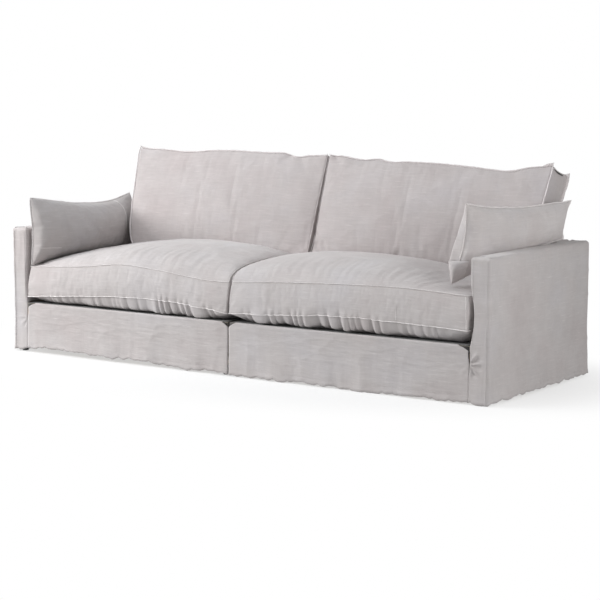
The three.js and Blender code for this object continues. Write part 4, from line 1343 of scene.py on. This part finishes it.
# The sewn lines on their faces: name, start, end, the way in which they are seen, and width.
PILLOW_SEAMS = {
    "left": [
        ("panel_seam", (-1.1, FRONT + 0.585, 0.48), (-1.1, FRONT + 0.6, 0.705), (-1, 0, 0), 0.0022),
        ("tuck", (-1.14, FRONT + 0.02, 0.505), (-1.14, FRONT + 0.13, 0.5), (-1, 0, 0), 0.0022),
    ],
    "right": [],
}

# The least distance that is kept between pieces that lie on one another.
GAP = 0.0012

# Shaded and lit copies of the linen: the left pillow's is darker, painted shade for its face turned away
# from the light, and the right pillow's is paler, painted light for its face turned towards it.
pillow_shaded_and_lit_linens = {
    "left": linen_material("left_pillow_linen", (0.52, 0.49, 0.483), (0.445, 0.418, 0.412), 0.0),
    "right": linen_material("right_pillow_linen", (0.65, 0.612, 0.604), (0.56, 0.527, 0.52), 0.0),
}


def pillow_face(label, side):
    places = PILLOW_CORNERS[label]
    shift = np.array([0, FRONT, 0])
    low_front, high_front, high_rear, low_rear = (
        np.array(places[key]) + shift for key in ("bottom_front", "top_front", "top_rear", "bottom_rear")
    )
    half_x = np.linalg.norm(low_rear - low_front) / 2
    half_y = np.linalg.norm(high_front - low_front) / 2
    outward = np.cross(high_rear - low_front, high_front - low_rear)
    outward /= np.linalg.norm(outward)
    if outward[0] * side < 0:
        outward = -outward

    def face(u, v, t):
        x, y = panel_place(u, v, half_x, half_y, PILLOW["end_drawn_in"][label], 0, 0)
        y = y + curve(PILLOW_TOP[label], u) * np.maximum(0, v) ** 2
        y = y + PILLOW["bottom_drawn_in"] * (1 - u * u) * np.maximum(0, -v) ** 2
        if t == 0:
            near_end = np.sin(math.pi * np.clip((u + 1) / PILLOW["bulge_share"], 0, 1))
            x = x - PILLOW["end_bulge"][label] * near_end * np.sqrt(1 - v * v) * (0.6 - 0.7 * v)
        s = (0.5 + x / (2 * half_x))[..., None]
        h = (0.5 + y / (2 * half_y))[..., None]
        low = low_front + (low_rear - low_front) * s
        high = high_front + (high_rear - high_front) * s
        swell = crown(u, v, PILLOW["end_share"], PILLOW["share"])
        out = PILLOW["seam"] * (t - 0.5) + np.zeros_like(u)
        if t == 1:
            out = out + places["outer"] * swell
        if t == 0:
            out = out - places["inner"] * swell
        return low + (high - low) * h + outward * out[..., None]

    return face, (2 * half_x, 2 * half_y)


def keep_outside(piece, other, reach):
    """Moves the points of a piece that lie inside another closed piece, or too near it, out to the gap."""
    places = points_of(piece)
    tree = surface_of(other)
    for number, place in enumerate(places):
        near, normal, _, _ = tree.find_nearest(Vector(place), reach)
        if near is None:
            continue
        away = (Vector(place) - near).dot(normal)
        if away < GAP:
            places[number] = near + normal * GAP
    set_points(piece, places)


def clear_of_arm(piece, side):
    """Sets a pillow's lower points on the arm's top, or beside the arm, whichever is nearer."""
    places = points_of(piece)
    top = HEIGHT + 0.002
    inner = ARM_INNER - 0.0008
    across = side * places[:, 0]
    inside = (places[:, 2] < top) & (across > inner)
    nearer_top = (top - places[:, 2]) < (across - inner)
    places[:, 2] = np.where(inside & nearer_top, top, places[:, 2])
    places[:, 0] = np.where(inside & ~nearer_top, side * inner, places[:, 0])
    set_points(piece, places)


def arm_pillow(label, side):
    face, size = pillow_face(label, side)
    piece, seams = cushion(f"{label}_pillow_linen", size, PILLOW_SPACING, face, PILLOW["seam"], band_rows=1)
    turned_out(piece)
    wrinkled(piece, seams, growth=0.035, pressure=3, gain=0.6, seed=81 + side)
    clear_of_arm(piece, side)
    keep_outside(piece, back_cushions[label], reach=0.08)
    body = f"{label}_arm_pillow"

    def widths(places):
        return np.full(len(places), PILLOW_EDGE)

    sew_edges(f"{label}_pillow", piece, seams, ("upper",), widths, 0.003, 0.0012, body)
    soften(piece)
    finished(piece, pillow_shaded_and_lit_linens[label], body, replaced=[f"{body}_cover", f"{body}_filling"])
    for name, start, end, toward, width in PILLOW_SEAMS[label]:
        path = straight(start, end, 0.005)
        sewn_line(f"{label}_pillow_{name}", piece, path, toward, width, 0.001, body, seam_highlight_linen)
    return piece


def corner_fold():
    """The right pillow's lower near corner, folded over and tucked towards the arm."""
    corners = np.array([
        [(1.045, -0.345, 0.564), (1.062, -0.345, 0.468)],
        [(1.122, -0.3, 0.564), (1.1, -0.31, 0.502)],
    ])
    way = np.array((0.45, -0.85, 0.25))

    def face(u, v, t):
        across, down = (0.5 + 0.5 * u)[..., None], (0.5 + 0.5 * v)[..., None]
        near = corners[0, 0] * (1 - down) + corners[0, 1] * down
        far = corners[1, 0] * (1 - down) + corners[1, 1] * down
        out = 0.003 * t + 0.024 * t * crown(u + 0.25 * (1 - u * u), v, 0.6, 0.6)
        out = out - 0.006 * fold(u, v, (1, -0.7), (-0.2, 0.6), 0.3) * t
        return near + (far - near) * across + way * out[..., None]

    name = "right_pillow_corner_fold"
    piece, _ = cushion(name, (0.09, 0.08), (0.006, 0.006), face, 0.003, band_rows=1)
    turned_out(piece)
    soften(piece)
    # The fold takes the right pillow's paler copy of the linen, painted light.
    finished(piece, pillow_shaded_and_lit_linens["right"], "right_arm_pillow")


arm_pillows = {label: arm_pillow(label, side) for label, side in SIDES.items()}
corner_fold()


# Seat cushions. Two deep box cushions of foam in a fibre wrap, crowned on top and gathered under the
# lower front seam, where the loose cover hangs in scallops; the pillows and back cushions press them down.

# How both are cut: the heights of their seams and how these lift, how far the faces are drawn in, and
# how evenly the top swells across and along.
SEAT = {
    "overhang": 0.015, "lower_seam": 0.275, "upper_seam": 0.417, "front_lift": 0.033, "arm_lift": 0.012,
    "middle_lift": 0.083, "drawn_in": 0.009, "ease": 0.006, "across": 0.8, "along": 0.6, "belly": 4,
    "front_lean": 0.024, "arm_gap": 0.006,
}
SEAT_SPACING = (0.008, 0.013)
SEAT_EDGE = 0.0034
SEAT_CROWN = {"left": 0.102, "right": 0.088}

# The share of the crown that is lost beside the arm, and the gaps over the deck and over the skirt.
FALL_TO_ARM = {"left": 0.0, "right": 0.45}
DECK_GAP = 0.0015
SKIRT_GAP = {"left": 0.009, "right": 0.015}

# Heights of the front seams, as (distance from the sofa's middle, height) pairs.
LOWER_FRONT_SEAM = {
    "left": [(0, 0.279), (0.146, 0.295), (0.367, 0.31), (0.584, 0.309), (0.993, 0.286), (1.2, 0.272)],
    "right": [(0, 0.28), (0.247, 0.291), (0.558, 0.31), (0.912, 0.309), (1.2, 0.301)],
}
UPPER_FRONT_SEAM = {
    "left": [(0, 0.415), (0.145, 0.418), (0.409, 0.443), (0.63, 0.456), (0.843, 0.434), (1.2, 0.414)],
    "right": [(0, 0.417), (0.3, 0.434), (0.592, 0.445), (0.986, 0.449), (1.2, 0.437)],
}

# The gathers: the way in which they swell, forward and a little down, how far apart they are, and between
# which distances from the sofa's middle they grow and fade.
GATHER_WAY = (0, -1, -0.3)
GATHER_PITCH = 0.047
GATHER_SWELL = 0.038
GATHER_DEPTH = 0.022
GATHER_REACH = {"left": (0.02, 0.1, 0.35, 0.55), "right": (0.02, 0.08, 0.74, 0.88)}


def seat_face(label, side):
    near = HALF_INNER + FIT / 2
    half_x = (ARM_INNER - FIT - near) / 2
    half_y = (DEPTH - BACK_DEPTH - FIT + SEAT["overhang"]) / 2
    middle = (side * (near + half_x), FRONT + half_y - SEAT["overhang"])

    def face(u, v, t):
        near_arm = 0.5 + 0.5 * u * side
        seam = SEAT["front_lift"] * (1 - u * u) * v * v + SEAT["arm_lift"] * (1 - v * v) * near_arm ** 2
        squeezed = SEAT["middle_lift"] * np.sqrt(np.maximum(0, 1 - v * v)) * (1 - near_arm) ** 2
        at = side * (middle[0] + u * half_x)
        front = (0.5 - 0.5 * v) ** 2
        at_front = SEAT["front_lift"] * (1 - u * u)
        top = SEAT["upper_seam"] + seam + squeezed
        top = top + front * (curve(UPPER_FRONT_SEAM[label], at) - SEAT["upper_seam"] - at_front)
        low = SEAT["lower_seam"] + seam
        low = low + front * (curve(LOWER_FRONT_SEAM[label], at) - SEAT["lower_seam"] - at_front)
        if t == 1:
            fall = 1 - FALL_TO_ARM[label] * ease(u * side, 0.1, 0.9)
            top = top + SEAT_CROWN[label] * fall * crown(u, v, SEAT["across"], SEAT["along"])
        if t == 0:
            belly = np.minimum(1, SEAT["belly"] * crown(u, v, 0.5, 0.5))
            lift = SKIRT_GAP[label] * (0.5 + 0.5 * ease(at, 0.15, 0.6))
            rest = DECK + DECK_GAP + lift * ease(-v, 0.78, 0.98)
            low = low - (low - rest) * belly
        bulge = math.sin(math.pi * t)
        drawn_in = SEAT["drawn_in"] * (1 - bulge)
        x, y = panel_place(u, v, half_x, half_y, drawn_in, drawn_in, SEAT["ease"] * (1 - 0.6 * bulge))
        x = x - side * SEAT["arm_gap"] * ease(u * side, 0.7, 1) * ease(-v, 0.5, 0.95)
        y = y + SEAT["front_lean"] * ease(-v, 0.7, 1) * t
        return np.stack([middle[0] + x, middle[1] + y, low + (top - low) * t], axis=-1)

    return face, (2 * half_x, 2 * half_y)


def seat_puckers(places, label, side):
    """The gathers that hang under the lower front seam: scalloped bulges with tight creases between."""
    x, y, z = places.T
    run = side * x
    front = ease(-(y - FRONT), -0.09, -0.02)
    grow_from, full_from, full_to, fade_to = GATHER_REACH[label]
    where = ease(run, grow_from, full_from) * (1 - ease(run, full_to, fade_to))
    where = np.maximum(where, 0.3 * ease(run, 0.02, 0.1) * (1 - ease(run, 1.05, 1.17)))
    seam = curve(LOWER_FRONT_SEAM[label], run)
    below = ease(seam - z, -0.004, 0.012)
    phase = run / GATHER_PITCH + 0.42 * np.sin(run * 19) + 0.25 * np.sin(run * 47 + 1)
    scallop = np.abs(np.sin(math.pi * phase)) ** 0.45 * (0.8 + 0.25 * np.sin(run * 31 + 2))
    above = np.exp(-((z - seam) / 0.02) ** 2) * (1 - below)
    hanging = below * (GATHER_SWELL * scallop - GATHER_DEPTH)
    return front * where * (hanging + above * (0.014 * scallop - 0.009))


def press_down(piece, others):
    """Presses the top of a cushion down under what lies on it, with a soft dip around."""
    floor = DECK + 0.02
    places = points_of(piece)
    depth = np.zeros(len(places))
    for other in others:
        tree = surface_of(other)
        for number, place in enumerate(places):
            if place[2] < floor:
                continue
            hit = tree.ray_cast(Vector((place[0], place[1], 0.1)), Vector((0, 0, 1)))[0]
            if hit is not None:
                depth[number] = max(depth[number], place[2] - hit.z + GAP)
    around = spread(depth, edges_of(piece), 12)
    depth = np.maximum(depth, np.minimum(around, 0.012))
    places[:, 2] = np.maximum(places[:, 2] - depth, np.minimum(places[:, 2], floor))
    set_points(piece, places)


def within(piece, axis, low, high):
    """Keeps a piece's points between two places along an axis."""
    places = points_of(piece)
    places[:, axis] = np.clip(places[:, axis], low, high)
    set_points(piece, places)


def seat_cushion(label, side):
    face, size = seat_face(label, side)
    band_height = SEAT["upper_seam"] - SEAT["lower_seam"]
    name = f"{label}_seat_linen_cushion"
    piece, seams = cushion(name, size, SEAT_SPACING, face, band_height, band_rows=13)
    turned_out(piece)
    wrinkled(piece, seams, growth=0.03, pressure=3, gain=0.45, seed=91 + side)
    places = points_of(piece)
    places += np.outer(seat_puckers(places, label, side), GATHER_WAY)
    set_points(piece, places)
    press_down(piece, [back_cushions["left"], back_cushions["right"], arm_pillows[label]])
    inner, outer = sorted((side * (HALF_INNER + 0.0002), side * (ARM_INNER - 0.0006)))
    within(piece, 0, inner, outer)
    within(piece, 2, DECK + 0.0008, None)
    within(piece, 1, None, BACK_FRONT - 0.0008)
    body = f"{label}_seat_cushion"

    def widths(places):
        return SEAT_EDGE - 0.002 * ease(-side * places[:, 0], -0.03, -0.005)

    sew_edges(f"{label}_seat", piece, seams, ("upper", "lower"), widths, 0.0028, 0.0012, body)
    soften(piece)
    finished(piece, linen, body, replaced=[f"{body}_cover", f"{body}_core"])
    return piece


def right_seat_seams(piece, body):
    """The joint in the right cushion's band, and the seam down its front corner beside the arm."""
    joint = straight((0.868, FRONT, 0.318), (0.868, FRONT, 0.375), 0.005)
    sewn_line("right_seat_band_joint", piece, joint, (0, 1, 0), 0.002, 0.001, body, seam_highlight_linen)
    corner = straight((1.2, FRONT - 0.012, 0.306), (1.2, FRONT - 0.012, 0.434), 0.005)
    sewn_line("right_seat_corner_seam", piece, corner, (-0.6, 0.8, 0), 0.003, 0.0012, body, seam_highlight_linen)


seat_cushions = {label: seat_cushion(label, side) for label, side in SIDES.items()}
right_seat_seams(seat_cushions["right"], "right_seat_cushion")


# Studio. A pale floor that runs out to white, a white surround, soft lamps at the left, above, at the
# front left and at the right, and the camera where it stood for the photograph.

FLOOR_REACH = 14.0
FLOOR_COLOR = (0.93, 0.93, 0.93, 1)

# Where the floor turns to plain white, as distances from the sofa's middle on a scale stretched by axis.
WHITE_STRETCH = (0.75, 1.3, 1)
WHITE_FROM = 0.9
WHITE_AT = 1.5

# The camera as fitted to the sofa's straight edges in the photograph.
CAMERA_LENS = 101.43
CAMERA_PLACE = (4.4536, -6.3604, 1.2766)
CAMERA_WAY = (-0.5629, 0.8169, -0.1259)


def add_floor():
    shell = Shell()
    near, far = -FLOOR_REACH, FLOOR_REACH
    corners = np.array([[(near, near, 0), (near, far, 0)], [(far, near, 0), (far, far, 0)]])
    shell.panel(shell.add(corners), corners[..., :2])
    floor = shell.make("studio_floor")
    turn_to(floor, 2, 1)
    material, shader = new_material("studio_white", 0.9)
    shader.inputs["Base Color"].default_value = FLOOR_COLOR
    n = Nodes(material.node_tree)
    glow = n.node("ShaderNodeEmission")
    rays = n.node("ShaderNodeLightPath")
    seen = n.math("MAXIMUM", rays.outputs["Is Camera Ray"], rays.outputs["Is Glossy Ray"])
    seen = n.math("MAXIMUM", seen, rays.outputs["Is Transmission Ray"])
    n.link(n.math("MAXIMUM", seen, 0.5), glow.inputs["Strength"])
    place = n.node("ShaderNodeVectorMath", operation="LENGTH")
    n.link(n.coordinates("object", WHITE_STRETCH), place.inputs[0])
    white = n.node("ShaderNodeMapRange", interpolation_type="SMOOTHSTEP")
    white.inputs["From Min"].default_value = WHITE_FROM
    white.inputs["From Max"].default_value = WHITE_AT
    white.inputs["To Min"].default_value = 0.55
    n.link(place.outputs["Value"], white.inputs["Value"])
    blend = n.node("ShaderNodeMixShader")
    n.link(white.outputs["Result"], blend.inputs[0])
    n.link(shader.outputs["BSDF"], blend.inputs[1])
    n.link(glow.outputs["Emission"], blend.inputs[2])
    n.link(blend.outputs["Shader"], material.node_tree.nodes["Material Output"].inputs["Surface"])
    floor.data.materials.append(material)


def add_lamp(name, place, target, size, power, color=(1, 1, 1)):
    light = bpy.data.lights.new(name, "AREA")
    light.color = color
    light.shape = "DISK"
    light.size = size
    light.energy = power
    lamp = bpy.data.objects.new(name, light)
    lamp.location = place
    lamp.rotation_euler = (Vector(target) - Vector(place)).to_track_quat("-Z", "Y").to_euler()
    scene.collection.objects.link(lamp)


def add_world(strength):
    world = bpy.data.worlds.new("studio")
    scene.world = world
    world.use_nodes = True
    tree = world.node_tree
    background = tree.nodes["Background"]
    background.inputs["Color"].default_value = (1, 1, 1, 1)
    rays = tree.nodes.new("ShaderNodeLightPath")
    seen = tree.nodes.new("ShaderNodeMath")
    seen.operation = "MAXIMUM"
    tree.links.new(rays.outputs["Is Camera Ray"], seen.inputs[0])
    tree.links.new(rays.outputs["Is Glossy Ray"], seen.inputs[1])
    strength_node = tree.nodes.new("ShaderNodeMapRange")
    strength_node.inputs["To Min"].default_value = strength
    strength_node.inputs["To Max"].default_value = 1.0
    tree.links.new(seen.outputs[0], strength_node.inputs["Value"])
    tree.links.new(strength_node.outputs["Result"], background.inputs["Strength"])


def add_camera():
    camera = bpy.data.cameras.new("photograph")
    camera.lens = CAMERA_LENS
    camera.sensor_width = 36
    view = bpy.data.objects.new("photograph", camera)
    view.location = CAMERA_PLACE
    view.rotation_euler = Vector(CAMERA_WAY).to_track_quat("-Z", "Y").to_euler()
    scene.collection.objects.link(view)
    scene.camera = view


add_floor()
add_world(0.25)
add_lamp("window_left", (-4.0, -2.4, 1.8), (-0.4, 0, 0.3), 1.6, 150)
add_lamp("overhead", (-0.6, -1.0, 3.4), (0, 0, 0.3), 2.0, 34, (0.9, 0.95, 1))
add_lamp("window_right", (2.6, 0.2, 2.8), (0, 0, 0.3), 1.5, 3)
add_lamp("softbox_front", (-2.5, -3.3, 3.0), (-0.4, 0, 0.3), 2.0, 48)
add_lamp("reflector_right", (3.1, -1.1, 1.1), (0.8, 0, 0.4), 1.3, 22)
add_camera()
scene.view_settings.view_transform = "Standard"
